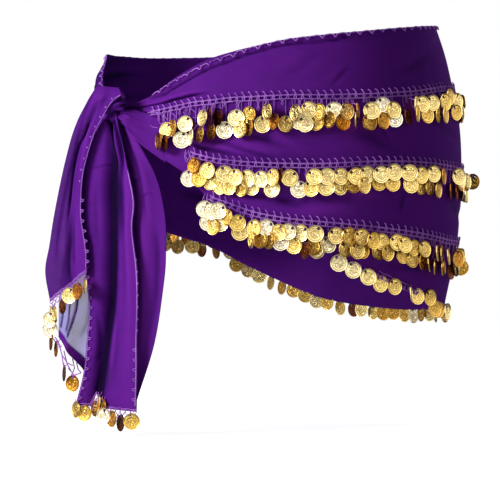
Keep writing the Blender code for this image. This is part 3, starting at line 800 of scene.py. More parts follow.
def wrap_frames(line, angles, drop=0.0, level=False):
    """The frames of pieces sewn on a line of the wrap, leaning with the line or hanging level."""
    step = 0.3
    here = edge_height(line, angles) - drop
    ahead = edge_height(line, angles + step) - drop
    start = on_wrap(angles, here)
    across = on_wrap(angles + step, here if level else ahead) - start
    up = on_wrap(angles, here + 2) - start
    if level:
        up = np.tile((0.0, 0.0, 1.0), (len(start), 1))
    out = start * (1, 1, 0)
    return frames(across, up, out)


def eulers(matrices):
    return np.array([Matrix(m.tolist()).to_euler("XYZ")[:] for m in matrices])


def attach(piece, slot, *nodes):
    """Rides on the one body and stands for CAD nodes; the slot is not used."""
    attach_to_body(piece, "root")
    if nodes:
        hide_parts(*nodes)
    return piece


# Cloth


def add_cloth(name, points, faces, relief, places, nodes, sheer=None, darkest=-0.2):
    """A piece of chiffon with its painted shade and its places on the flat cloth.

    With a sheerness it is an open sheet, and without one it is a closed layer.
    """
    piece = add_piece(name, points, faces, cloth_material())
    lay_uv(piece.data, "cloth", places * MM / UV_SPAN)
    store(piece.data, "relief", np.clip(relief, darkest, 1))
    if sheer is None:
        face_outwards(piece.data)
    else:
        store(piece.data, "sheer", sheer)
        solidify = piece.modifiers.new("Cloth thickness", "SOLIDIFY")
        solidify.thickness = bpy.context.scene.hip_scarf_cloth.thickness * MM
        solidify.offset = 0.0
    return attach(piece, "chiffon", *nodes)


# Painted shade in the chiffon's colour runs from 0, deep in a crease, to 1, on the top of a fold.
FLAT_SHADE = 0.45
WRAP_SHADE_PER_MM = 0.22
TAIL_SHADE_PER_MM = 0.2
FOLD_SHADE_PER_MM = 0.105
SHEER_SHADE = 0.4
KNOT_SHADE = 0.3


def make_wrap():
    cloth = bpy.context.scene.hip_scarf_cloth
    across, down = grid_places(cloth.wrap_columns, cloth.wrap_rows)
    # The faces are finer in front than behind.
    angle = np.interp(across, (0, 0.62, 1), (WRAP_START, 100, WRAP_END))
    top, hem = edge_height("top", angle), edge_height("hem", angle)
    height = top + (hem - top) * down
    flat = np.stack([arc_of(angle), height], -1)
    creases = [c._replace(points=[(float(arc_of(a)), h) for a, h in c.points]) for c in WRAP_CREASES]
    depth = crease_depth(flat, creases)
    # The edges are rolled and sewn: a narrow ridge along the top and the hem.
    rolled = 0.7 * bump(np.minimum(top - height, height - hem), 1.3)
    # Near the knot the top edge is turned over, with a step down to the cloth below it.
    strip = turned_over(angle)
    under = top - height - strip
    turned_edge = ease(strip / 3) * (1.1 * ease(0.5 - under / 1.4) - 0.8 * bump(under - 1.8, 1.2))
    points = on_wrap(angle, height, depth + rolled + turned_edge)
    # Painted shade: a painted shadow below the turned-over strip, painted shade on the slack over the hip, a
    # painted highlight on a fold by the knot, and creases painted darker and fold tops lighter.
    painted_shadow = 0.35 * ease(strip / 3) * bump(under - 1.4, 1.1)
    slack = bump(angle - SLACK_ANGLE, 22) * ease((height + 5) / 20)
    painted_light_by_knot = bump(angle + 36, 3.5) * bump(height + 2, 5)
    relief = FLAT_SHADE + WRAP_SHADE_PER_MM * depth - painted_shadow - 0.42 * slack + 0.5 * painted_light_by_knot
    faces = grid_faces(cloth.wrap_columns, cloth.wrap_rows)
    piece = add_cloth("scarf_wrap", points, faces, relief, flat, WRAP_NODES, np.zeros(len(points)))


# A tail's cloth: its faces across and down, the flat size and area it was cut to, and the pieces on it.
TailCloth = namedtuple("TailCloth", "columns rows flat area trims")
TAIL_CLOTHS = {
    "tail_outer": TailCloth(34, 130, (0.062, 0.235), 0.0090, (
        "edging_tail_outer", "beads_tail_outer", "net_tail_outer", "string_tail_outer")),
    "tail_front": TailCloth(44, 150, (0.085, 0.300), 0.0185, (
        "edging_tail_front", "beads_tail_front", "net_tail_front")),
    "tail_inner": TailCloth(34, 140, (0.060, 0.285), 0.0105, ()),
    "tail_rear": TailCloth(40, 130, (0.070, 0.260), 0.0120, ("net_tail_rear",)),
}


def tail_sheerness(name, across, down):
    """How clear each place of a tail is, where light comes through a single layer."""
    if name == "tail_outer":
        return 0.38 * ease((0.66 - across) / 0.3) * ease((down - 0.2) / 0.3)
    if name == "tail_rear":
        return 0.82 * ease((0.98 - down) / 0.012)
    if name == "tail_front":
        return 0.4 * bump(across - 0.5, 0.05) * bump(down - 0.91, 0.04)
    return np.zeros(len(across))


def make_tail(name):
    tail, made = TAILS[name], TAIL_CLOTHS[name]
    across, down = grid_places(made.columns, made.rows)
    flat = on_tail(tail, across, down)
    depth = crease_depth(flat[:, (0, 2)], TAIL_CREASES[name])
    width = np.interp(down, np.linspace(0, 1, len(tail.rows)), tail.rows[:, 2] - tail.rows[:, 0])
    edge = np.minimum(across, 1 - across) * width
    points = on_tail(tail, across, down, depth + 0.5 * bump(edge, 1.2))
    # A crease lays the layer double, so that it hides more.
    sheer = np.clip(tail_sheerness(name, across, down) + 0.25 * np.minimum(0, depth), 0, 1)
    # Painted shade: the cloth is painted darkest on the side of a fold that turns from the light, darker in
    # creases, lighter on ridges and darker where it is sheer.
    folded = sum(
        deep * bump(across - fold_place(at, down) - 0.04, 0.82 * wide) for at, wide, deep in tail.folds
    )
    folded = FOLD_SHADE_PER_MM * folded * np.minimum(1, down * FOLDS_OPEN)
    relief = FLAT_SHADE + TAIL_SHADE_PER_MM * depth - folded - SHEER_SHADE * sheer
    places = np.stack([flat[:, 0] - flat[:, 0].min(), -flat[:, 2]], -1) + 20
    faces = grid_faces(made.columns, made.rows)
    piece = add_cloth(f"cloth_{name}", points, faces, relief, places, (name,), sheer, -0.35)


# Painted creases and a painted lit ridge for the knot's colour, laid on points as the camera sees them
# square on.
def painted_seen_creases(points):
    turn = math.radians(AZIMUTH)
    return crease_depth(points @ np.array([(math.cos(turn), 0), (math.sin(turn), 0), (0, 1)]), KNOT_CREASES)


def knot_band():
    """The points, faces, painted shade and cloth places of the band over the knot: a thin closed layer."""
    columns, rows = 36, 24
    share, across = grid_places(columns, rows)
    low, high = (smooth_path(KNOT_BAND[:, half], share) for half in (slice(0, 3), slice(3, 6)))
    angle, height, out = (low + (high - low) * across[:, None]).T
    # The band is full where it leaves the knot, with one crease, and is pulled flat by four fifths along.
    pulled = 1 - ease(share / 0.8)
    crease = bump(across - 0.72, 0.05)
    fold = 1.6 * np.sin(np.pi * across) * pulled - 1.5 * crease * ease(share * 5) * pulled
    layers = [on_wrap(angle, height, out + fold + side) for side in (0.35, -0.35)]
    count = len(share)
    front = grid_faces(columns, rows)
    rim = [
        *range(columns + 1),
        *(r * (columns + 1) + columns for r in range(1, rows + 1)),
        *range(count - 2, count - columns - 2, -1),
        *(r * (columns + 1) for r in range(rows - 1, 0, -1)),
    ]
    faces = front + [tuple(count + i for i in reversed(face)) for face in front]
    faces += [(rim[k - 1], rim[k], count + rim[k], count + rim[k - 1]) for k in range(len(rim))]
    # Painted shade: lighter where the band is full, darker in its crease and where it leaves the knot.
    relief = 0.46 + 0.16 * fold - 0.25 * crease * pulled - 0.2 * ease((0.16 - share) / 0.16)
    places = np.stack([60 * share, 40 * across], -1)
    return np.concatenate(layers), faces, np.tile(relief, 2), np.tile(places, (2, 1))


# Folds round the knot: where one starts, how far it winds, its half width and its depth, in radians and
# shares of the girth.
KNOT_FOLDS = (
    (0.2, 1.1, 0.16, 0.20), (1.1, 0.7, 0.13, 0.15), (1.9, 1.4, 0.18, 0.22), (2.8, 0.9, 0.12, 0.14),
    (3.7, 1.2, 0.17, 0.20), (4.5, 0.6, 0.14, 0.16), (5.4, 1.3, 0.16, 0.19),
)


def make_knot():
    """The knot's bound layers, with folds running round it, and a band of the wrap drawn over them."""
    turn = math.radians(KNOT_ANGLE)
    along = np.array((math.cos(turn), math.sin(turn), 0))
    outward = np.array((math.sin(turn), -math.cos(turn), 0))
    half_length, half_depth, half_height = KNOT_HALF_SIZES
    behind = float(form_radius(KNOT_ANGLE, 0.0)) + CLOTH_OUT + KNOT_CLEARANCE
    centre = outward * (behind + half_depth) + np.array((0, 0, KNOT_HEIGHT))
    columns, rows = 72, 56
    around, share = np.meshgrid(np.arange(columns) / columns, (np.arange(rows) + 0.5) / rows)
    around, share = around.ravel() * 2 * np.pi, share.ravel()
    place = -np.cos(share * np.pi)
    girth = np.sin(share * np.pi) ** 0.8
    fold = np.zeros(len(place))
    for at, lean, width, depth in KNOT_FOLDS:
        gap = (around - at - lean * place + np.pi) % (2 * np.pi) - np.pi
        fold += depth * bump(gap, width) - 0.4 * depth * bump(gap - 2.1 * width, 1.3 * width)
    thick = girth * (1 - fold)
    points = (
        centre
        + np.outer(place * half_length, along)
        + np.outer(np.cos(around) * thick * half_depth, outward)
        + np.outer(np.sin(around) * thick * half_height, (0, 0, 1))
    )
    faces = grid_faces(columns, rows - 1, closed=True)
    first, last = len(points), len(points) + 1
    top = (rows - 1) * columns
    faces += [(first, i, (i + 1) % columns) for i in range(columns)]
    faces += [(last, top + (i + 1) % columns, top + i) for i in range(columns)]
    points = np.concatenate([points, [centre - along * half_length, centre + along * half_length]])
    # Painted shade: darker in the folds, with painted creases and a painted lit ridge as the camera sees
    # them, and darker towards the top.
    relief = np.concatenate([KNOT_SHADE - 1.2 * fold, (KNOT_SHADE, KNOT_SHADE)])
    relief = relief + 0.2 * painted_seen_creases(points) - 0.4 * ease((points[:, 2] + 4) / 6)
    places = np.concatenate([np.stack([around * 11, share * 40], -1), ((0, 0), (0, 40))])
    band, band_faces, band_relief, band_places = knot_band()
    faces += [tuple(len(points) + i for i in face) for face in band_faces]
    add_cloth(
        "knot_cloth", np.concatenate([points, band]), faces, np.concatenate([relief, band_relief]),
        np.concatenate([places, band_places]), ("knot_core",),
    )


def make_roll():
    """The roll of cloth drawn round the knot's right end."""
    rings, sides = 30, 36
    share, around = np.meshgrid(np.linspace(0, 1, rings), np.arange(sides) / sides, indexing="ij")
    share, around = share.ravel(), around.ravel() * 2 * np.pi
    run = np.gradient(smooth_path(ROLL, np.linspace(0, 1, rings)), axis=0)
    run = np.repeat(run / np.linalg.norm(run, axis=1, keepdims=True), sides, axis=0)
    side = np.cross(run, (0.0, 1.0, 0.0))
    side /= np.linalg.norm(side, axis=1, keepdims=True)
    back = np.cross(run, side)
    wound = 0.94 + 0.12 * ((around + 2.5 * share) % (2 * np.pi)) / (2 * np.pi)
    ends = np.sqrt(np.clip(1 - np.abs(2 * share - 1) ** 6, 0.02, 1))
    girth = (ROLL_RADIUS * wound * ends * (1 - 0.05 * np.cos(5 * around + 3 * share)))[:, None]
    points = smooth_path(ROLL, share)
    points = points + side * np.cos(around)[:, None] * girth + back * np.sin(around)[:, None] * girth
    faces = grid_faces(sides, rings - 1, closed=True)
    faces += [tuple(range(sides)), tuple(range(len(points) - 1, len(points) - sides - 1, -1))]
    # Painted shade: a flat painted shade with the knot's painted creases and lit ridge.
    relief = KNOT_SHADE + 0.26 * painted_seen_creases(points)
    places = np.stack([around * 5, share * 16], -1)
    add_cloth("knot_roll_cloth", points, faces, relief, places, ("knot_roll",))


def face_outwards(mesh):
    """Turns a closed mesh's faces outwards."""
    shape = bmesh.new()
    shape.from_mesh(mesh)
    bmesh.ops.recalc_face_normals(shape, faces=shape.faces)
    shape.to_mesh(mesh)
    shape.free()


# Crochet


BAND_ROWS = (("row_1", -30.0, 302.0), ("row_2", -10.5, 284.0), ("row_3", -2.5, 276.0))
BAND_OUT = 1.3
BAND_GAP = 3.6
LOOP_PITCH = 13.0


def add_crochet(name, lines, radius, sides=4):
    """Threads along many lines of points, as one piece of crochet."""
    attach(add_threads(name, lines, radius, sides), "crochet_thread")


def add_motifs(kind, seed, radius, lines_of, *sizes):
    """Three like repeats of some crochet, each a little its own shape."""
    rng = np.random.default_rng(seed)
    return [add_threads(f"{kind}_motif_{n}", lines_of(rng, *sizes), radius) for n in range(3)]


def sew_on(name, motifs, line, angles, drop, out, spread=0.1):
    """Repeats of crochet along a line of the wrap, as one piece."""
    points = under_line(line, angles, drop, out)
    turns = eulers(wrap_frames(line, angles))
    attach(repeat(name, motifs, points, turns, thread_material(), spread=spread), "crochet_thread")


def band_lines(rng, pitch):
    """A repeat of the band: a leaning spike, two chains of twisted loops and the bars between them."""
    lean, tall = rng.uniform(-2.4, -1.5), rng.uniform(3.8, 4.8)
    foot, dip, low = pitch * rng.uniform(0.45, 0.6), rng.uniform(-0.3, 0.3), -BAND_GAP
    lines = [
        [(foot + 0.3, -0.5, -0.3), (foot, -1.2, tall * 0.45), (foot + lean * 0.45, -1.2, tall * 0.8),
         (foot + lean * 0.95, -1.0, tall), (foot + lean * 1.1, -0.7, tall * 0.9)],
        [(foot + 1.5, -0.5, 0.1), (foot + 0.6, -0.9, tall * 0.2), (foot, -1.0, tall * 0.5)],
    ]
    for z, swing in ((0.1, 0.4), (low, 0.3 + dip)):
        for side in (1, -1):
            lines.append([
                (pitch * t, -0.6 - 0.35 * side * math.cos(4 * math.pi * t),
                 z + side * swing * math.sin(4 * math.pi * t))
                for t in np.linspace(0, 1, 9)
            ])
    return [
        *lines,
        [(foot + 0.2, -0.6, 0), (foot - 0.7 + dip, -1.1, low * 0.5), (foot - 0.6, -0.5, low)],
        [(foot + 0.6, -0.5, 0), (foot + 1.3 + dip, -1.0, low * 0.45), (foot + 0.7 - dip, -0.5, low)],
    ]


def make_bands():
    """The three crochet bands that carry the coin rows."""
    pitch = bpy.context.scene.hip_scarf_crochet.pitch
    motifs = add_motifs("band", 11, 0.46, band_lines, pitch)
    for line, start, end in BAND_ROWS:
        sew_on(f"crochet_{line}", motifs, line, evenly(line, start, end, pitch), 0.0, BAND_OUT, 0.06)
    drop_motifs(motifs)
    # Loops hang from the lower chain, between the coins, each twisted once.
    rng = np.random.default_rng(31)
    loops = []
    for line, start, end in BAND_ROWS:
        angles = evenly(line, start + 2, end - 1, LOOP_PITCH)
        angles = angles + rng.uniform(-1.5, 1.5, len(angles))
        sides = wrap_frames(line, angles)[:, :, 0]
        for angle, side in zip(angles, sides):
            drops = BAND_GAP + np.array((0, 0.4, 0.75, 1, 0.75, 0.4, 0)) * rng.uniform(4, 11)
            aside = np.array((-1.8, 0.5, -1.3, 0, 1.3, -0.5, 1.8)) + rng.uniform(-0.4, 0.4)
            loops.append(under_line(line, np.array([angle]), drops, BAND_OUT + 0.8) + np.outer(aside, side))
    add_crochet("crochet_loops", loops, 0.45)


def picot_lines(rng, pitch, tall):
    """A repeat of the hem's edging: a chain with a small hooked picot."""
    reach = rng.uniform(0.85, 1.2) * tall
    lean = rng.uniform(-0.9, 0.3)
    return [
        [(0, -0.3, 0), (pitch * 0.33, -0.6, 0.15), (pitch * 0.66, -0.3, -0.15), (pitch, -0.3, 0)],
        [(pitch * 0.42, -0.4, 0), (pitch * 0.44 + lean, -0.9, reach),
         (pitch * 0.56 + lean, -0.9, reach * 0.9), (pitch * 0.6, -0.4, 0)],
    ]


def hook_lines(rng, pitch, reach):
    """A repeat of the top edging: a chain that dips to a hook and comes steeply back."""
    tip, deep = pitch * rng.uniform(0.68, 0.78), -reach * rng.uniform(0.85, 1.15)
    return [[
        (0, -0.3, 0), (tip * 0.45, -0.5, 0.4), (tip * 0.75, -0.6, -0.1), (tip - 0.4, -0.9, deep * 0.85),
        (tip + 0.5, -0.9, deep), (tip + 0.14 * pitch, -0.8, deep * 0.15), (pitch, -0.3, 0),
    ]]


def on_layer(layer, places, out):
    """Points on a tail's layer, from x and height."""
    x, height = np.asarray(places, float).T
    return np.stack([x, layer - TAIL_FRONT + TAIL_CURVE * (x - TAIL_MIDDLE) ** 2 - out, height], -1)


# How far along the line each point of a barb is: its foot, its two outer points and its other foot.
BARB_STEPS = np.array((0, 0.3, 1.7, 2.8))


def barbs(root, pitch, reach, first=0.0, last=1.0):
    """Short threads that stand off a line of points at an even pitch, from one share of it to another."""
    lengths = np.concatenate([[0], np.cumsum(np.linalg.norm(np.diff(root, axis=0), axis=1))])
    at = np.arange(first * lengths[-1] + pitch / 2, last * lengths[-1], pitch)[:, None]
    foot = np.stack([np.interp(at + BARB_STEPS, lengths, column) for column in root.T], -1)
    foot[:, 1:3] += np.asarray(reach, float) * np.array((1, 0.8))[:, None]
    return list(foot)


# The line of the crochet down the outer tail's right edge: x and height.
OUTER_HEM = (
    (-95.2, 3.3), (-101.4, 0.8), (-105.5, -2.3), (-111.8, -9.2), (-116.7, -16.2), (-124, -26.5),
    (-130.6, -37.9), (-138.8, -58.8), (-142.8, -72), (-145, -90), (-145.5, -111), (-142, -130),
    (-138.7, -148), (-138.6, -164),
)
# Threads that hang loose at the ends of the bands, and stitches on the hem: angles and heights.
LOOSE_THREADS = (
    ((-30.2, -13.5), (-27.5, -12.8), (-24, -14.1)), ((-25, -15.1), (-23.8, -24.5), (-21.8, -23.7)),
    ((-23.2, -15.3), (-21.1, -23.8)), ((-21.8, -16.5), (-20.3, -21.7)),
    ((-18.5, -14.6), (-16.8, -17.9), (-17.8, -22.5)), ((-13.5, -14.1), (-12.3, -16.8), (-12.7, -19.7)),
    ((-10.2, -11.2), (-8.2, -14.5), (-7.5, -19.7), (-9, -19.6)),
    ((-6.3, -11.5), (-7.1, -19.7), (-6.5, -25.8), (-8.4, -29.9)),
    ((-28.8, -23.6), (-27.7, -26.8), (-24.8, -28.1)), ((-11, -52.1), (-11.8, -56), (-10.8, -59.7)),
    ((-11.6, -50), (-12.2, -56), (-11.4, -62)), ((-10.6, -50.5), (-10, -56), (-11, -61.5)),
    ((-9.4, -51), (-9.9, -55), (-9.2, -60)), ((-3.4, -92), (-4.6, -97), (-3.8, -102)),
    ((-2.2, -92), (-3, -98), (-2.6, -104)),
    ((59.6, -164.7), (61.5, -167.5), (63.1, -169), (65.2, -172.3), (67.5, -174.2), (69.9, -177.1),
     (72.4, -180)),
    ((282, -20), (284, -26), (283, -31)), ((289, -18), (291, -24), (290, -28)),
    ((270, -74), (272, -80), (271, -86)),
)
# The pitch of the hooks at the far end of the top edging.
END_HOOK_PITCH = 7.0
# Down the tails: the pitches of the hooks and of the beads, and how far a hook stands to the right.
HOOK_PITCH = 10
BEAD_PITCH = 11.3
RIGHT_REACH = (3.8, -0.4, -0.3)


def make_edgings():
    """Crochet edgings: along the wrap's top and hem, and down the tails' long edges."""
    crochet = bpy.context.scene.hip_scarf_crochet
    for name, pitch, start, end in (
        ("edging_top", crochet.hook_pitch, -30, 283), ("edging_top_end", END_HOOK_PITCH, 283, 303),
    ):
        motifs = add_motifs("hook", 29, 0.58, hook_lines, pitch, 3.3)
        angles = evenly("top", start, end, pitch)
        drop = np.interp(angles, CHAIN_DROP[:, 0], CHAIN_DROP[:, 1])
        sew_on(name, motifs, "top", angles, drop, 1.1 + 1.0 * ease(turned_over(angles) / 3))
        drop_motifs(motifs)
    pitch = crochet.picot_pitch
    motifs = add_motifs("picot", 23, 0.55, picot_lines, pitch, 2.8)
    sew_on("edging_hem", motifs, "hem", evenly("hem", 49, 222, pitch), -0.6, 1.0)
    drop_motifs(motifs)

    # A corded edge with beads of thread, and hooks towards its end.
    root = on_layer(0, smooth_path(OUTER_HEM, np.linspace(0, 1, 160)), 1.6)
    hooks = barbs(root, HOOK_PITCH, RIGHT_REACH, 0.6, 1.0)
    add_crochet("edging_tail_outer", [root[::2], *hooks], 0.5)
    beads = [bead[1:3] for bead in barbs(root, BEAD_PITCH, (-2.1, -0.5, 0.4), 0.01, 0.58)]
    add_crochet("beads_tail_outer", beads, 0.95, 5)

    left = on_tail(TAILS["tail_front"], 0.03, np.linspace(0.5, 0.985, 120), 1.7)
    right = on_tail(TAILS["tail_front"], 0.985, np.linspace(0.28, 0.985, 160), 1.3)
    hooks = barbs(left, HOOK_PITCH, RIGHT_REACH) + barbs(right, 9.5, (-3.4, -0.4, -0.2), 0.74, 1.0)
    add_crochet("edging_tail_front", [left[::3], *hooks], 0.5)
    beads = [bead[1:3] for bead in barbs(right, BEAD_PITCH, (1.5, -0.7, 0.2), 0.36, 0.7)]
    add_crochet("beads_tail_front", [right[::3], *beads], 0.7, 5)

    add_crochet("loose_threads", [on_wrap(*np.array(line).T, 1.6) for line in LOOSE_THREADS], 0.4)


# A net at a tail's end: where along the bottom edge it starts and ends, its meshes and its depth.
Net = namedtuple("Net", "tail start end meshes deep")
NETS = (
    Net("tail_outer", 0.0, 1.0, 9, 7.0),
    Net("tail_front", 0.0, 0.34, 4, 8.0),
    Net("tail_front", 0.52, 1.0, 6, 8.0),
)
# The rear tail's net has worn to a few long meshes: x and height.
REAR_NET = (
    ((-191.2, -238.6), (-187.1, -249.1), (-184.6, -259.7), (-183, -266.3)),
    ((-184, -245), (-179, -258.1), (-169.2, -269.6), (-172.7, -272.4)),
    ((-171.1, -252.5), (-168.2, -261.6), (-173.1, -269.8)),
    ((-187.1, -249.1), (-179, -256.8), (-171.1, -259.1)),
    ((-177, -262), (-168.2, -268.9), (-158.7, -265.9)),
    ((-197.5, -232.1), (-192.3, -236.6), (-190.8, -242.6)),
    ((-196.4, -237.4), (-187.1, -241.1)),
    ((-165.3, -256.2), (-163, -262.8), (-158.7, -265.9)),
)
# The threads that the outer tail's last coins are strung on.
COIN_STRING = (
    ((-184, -199), (-185.5, -205), (-186.6, -209), (-186.4, -217.5), (-188, -226), (-186.2, -231),
     (-181.5, -235.5), (-178.8, -237.5)),
    ((-190, -200), (-187.6, -206), (-187, -212)),
)


def make_nets():
    """The crochet nets at the tails' ends: a double chain and two rows of loops, or a few worn meshes."""
    by_tail = {}
    for net in NETS:
        edge = np.linspace(net.start, net.end, 2 * net.meshes + 1)
        root = on_tail(TAILS[net.tail], edge, 1.0, 1.0)
        lines = by_tail.setdefault(net.tail, [])
        step, flat = np.arange(len(edge)), 0 * edge
        lines.append(root + np.stack([flat, flat, 0.8 + 0.3 * np.sin(step * 1.7)], -1))
        lines.append(root + np.stack([flat, flat - 0.4, 2.2 + 0.4 * np.cos(step * 2.1)], -1))
        drop = net.deep * 0.5
        for row in range(2):
            for k in range(row, 2 * net.meshes - 1, 2):
                left, right = root[k] - (0, 0, drop * row), root[k + 2] - (0, 0, drop * row)
                middle = (left + right) / 2 - (0, 0.5, drop)
                quarter = (left * 0.6 + middle * 0.4) - (0, 0, drop * 0.35)
                other = (right * 0.6 + middle * 0.4) - (0, 0, drop * 0.35)
                lines.append(np.array([left, quarter, middle, other, right]))
    for tail, lines in by_tail.items():
        add_crochet(f"net_{tail}", lines, 0.42, 5)
    add_crochet("net_tail_rear", [on_layer(23, line, 4.5) for line in REAR_NET], 0.65, 5)
    add_crochet("string_tail_outer", [on_layer(0, line, 1.2) for line in COIN_STRING], 0.5, 5)


# Coins


COIN_SIDES = 14
HOLE_SIDES = 4
HOLE_UP = 5.6
HOLE_RADIUS = 0.9


def make_coin(radius):
    """One pressed coin of a few dozen faces, hanging from its hole at the origin and facing -Y."""

    def circle(sides):
        turn = np.arange(sides) / sides * 2 * np.pi
        return np.stack([np.cos(turn), np.sin(turn)], -1)

    disc = circle(COIN_SIDES)
    hole = circle(HOLE_SIDES) * HOLE_RADIUS + (0, HOLE_UP)
    # The back, the rim's crest, the sunk face and the hole's two edges: each a ring and how far back it is.
    rings = (
        (disc * radius, 0.35), (disc * radius * 0.97, -0.5), (disc * radius * 0.87, -0.15),
        (hole, -0.15), (hole, 0.35),
    )
    points, starts = [], []
    for ring, y in rings:
        starts.append(len(points))
        points += [(x, y, z - HOLE_UP) for x, z in ring]
    faces = []
    for a, b, count in ((0, 1, COIN_SIDES), (1, 2, COIN_SIDES), (3, 4, HOLE_SIDES)):
        for i in range(count):
            j = (i + 1) % count
            faces.append((starts[a] + i, starts[b] + i, starts[b] + j, starts[a] + j))
    for outer, inner in ((2, 3), (0, 4)):
        loops = [[Vector((p[0], p[1], 0)) for p in rings[r][0]] for r in (outer, inner)]
        index = [
            *(starts[outer] + i for i in range(COIN_SIDES)),
            *(starts[inner] + i for i in range(HOLE_SIDES)),
        ]
        faces += [tuple(index[i] for i in face) for face in tessellate_polygon(loops)]
    coin = add_piece("coin_motif", points, faces, coin_material())
    face_outwards(coin.data)
    lay_uv(coin.data, "face", (np.array(points)[:, (0, 2)] + (0, HOLE_UP)) / radius / 2 + 0.5)
    coin.data.set_sharp_from_angle(angle=math.radians(24))
    return coin


def turned(frames_in, *angles):
    """Frames turned about their own up, right and facing directions, in degrees."""
    made = []
    for frame_in, *turns in zip(frames_in, *angles):
        yaw, pitch, roll = (Matrix.Rotation(math.radians(t), 3, axis) for t, axis in zip(turns, "ZXY"))
        made.append(np.array(Matrix(frame_in.tolist()) @ (yaw @ pitch @ roll)))
    return np.array(made)


# A row of coins in tiers: its line, where it ends, and for each tier how far below the line its coins'
# middles hang on the hidden side, and how far out.
CoinRow = namedtuple("CoinRow", "name line end tiers")
COIN_ROWS = (
    CoinRow("coin_row_1", "row_1", 299.0, ((26.0, 2.4), (15.5, 4.4))),
    CoinRow("coin_row_2", "row_2", 283.0, ((23.5, 2.4), (13.0, 4.4))),
    CoinRow("coin_row_3", "row_3", 275.0, ((25.0, 2.4), (14.5, 4.4))),
    CoinRow("coin_row_hem", "hem", 221.5, ((4.5, 2.4),)),
)
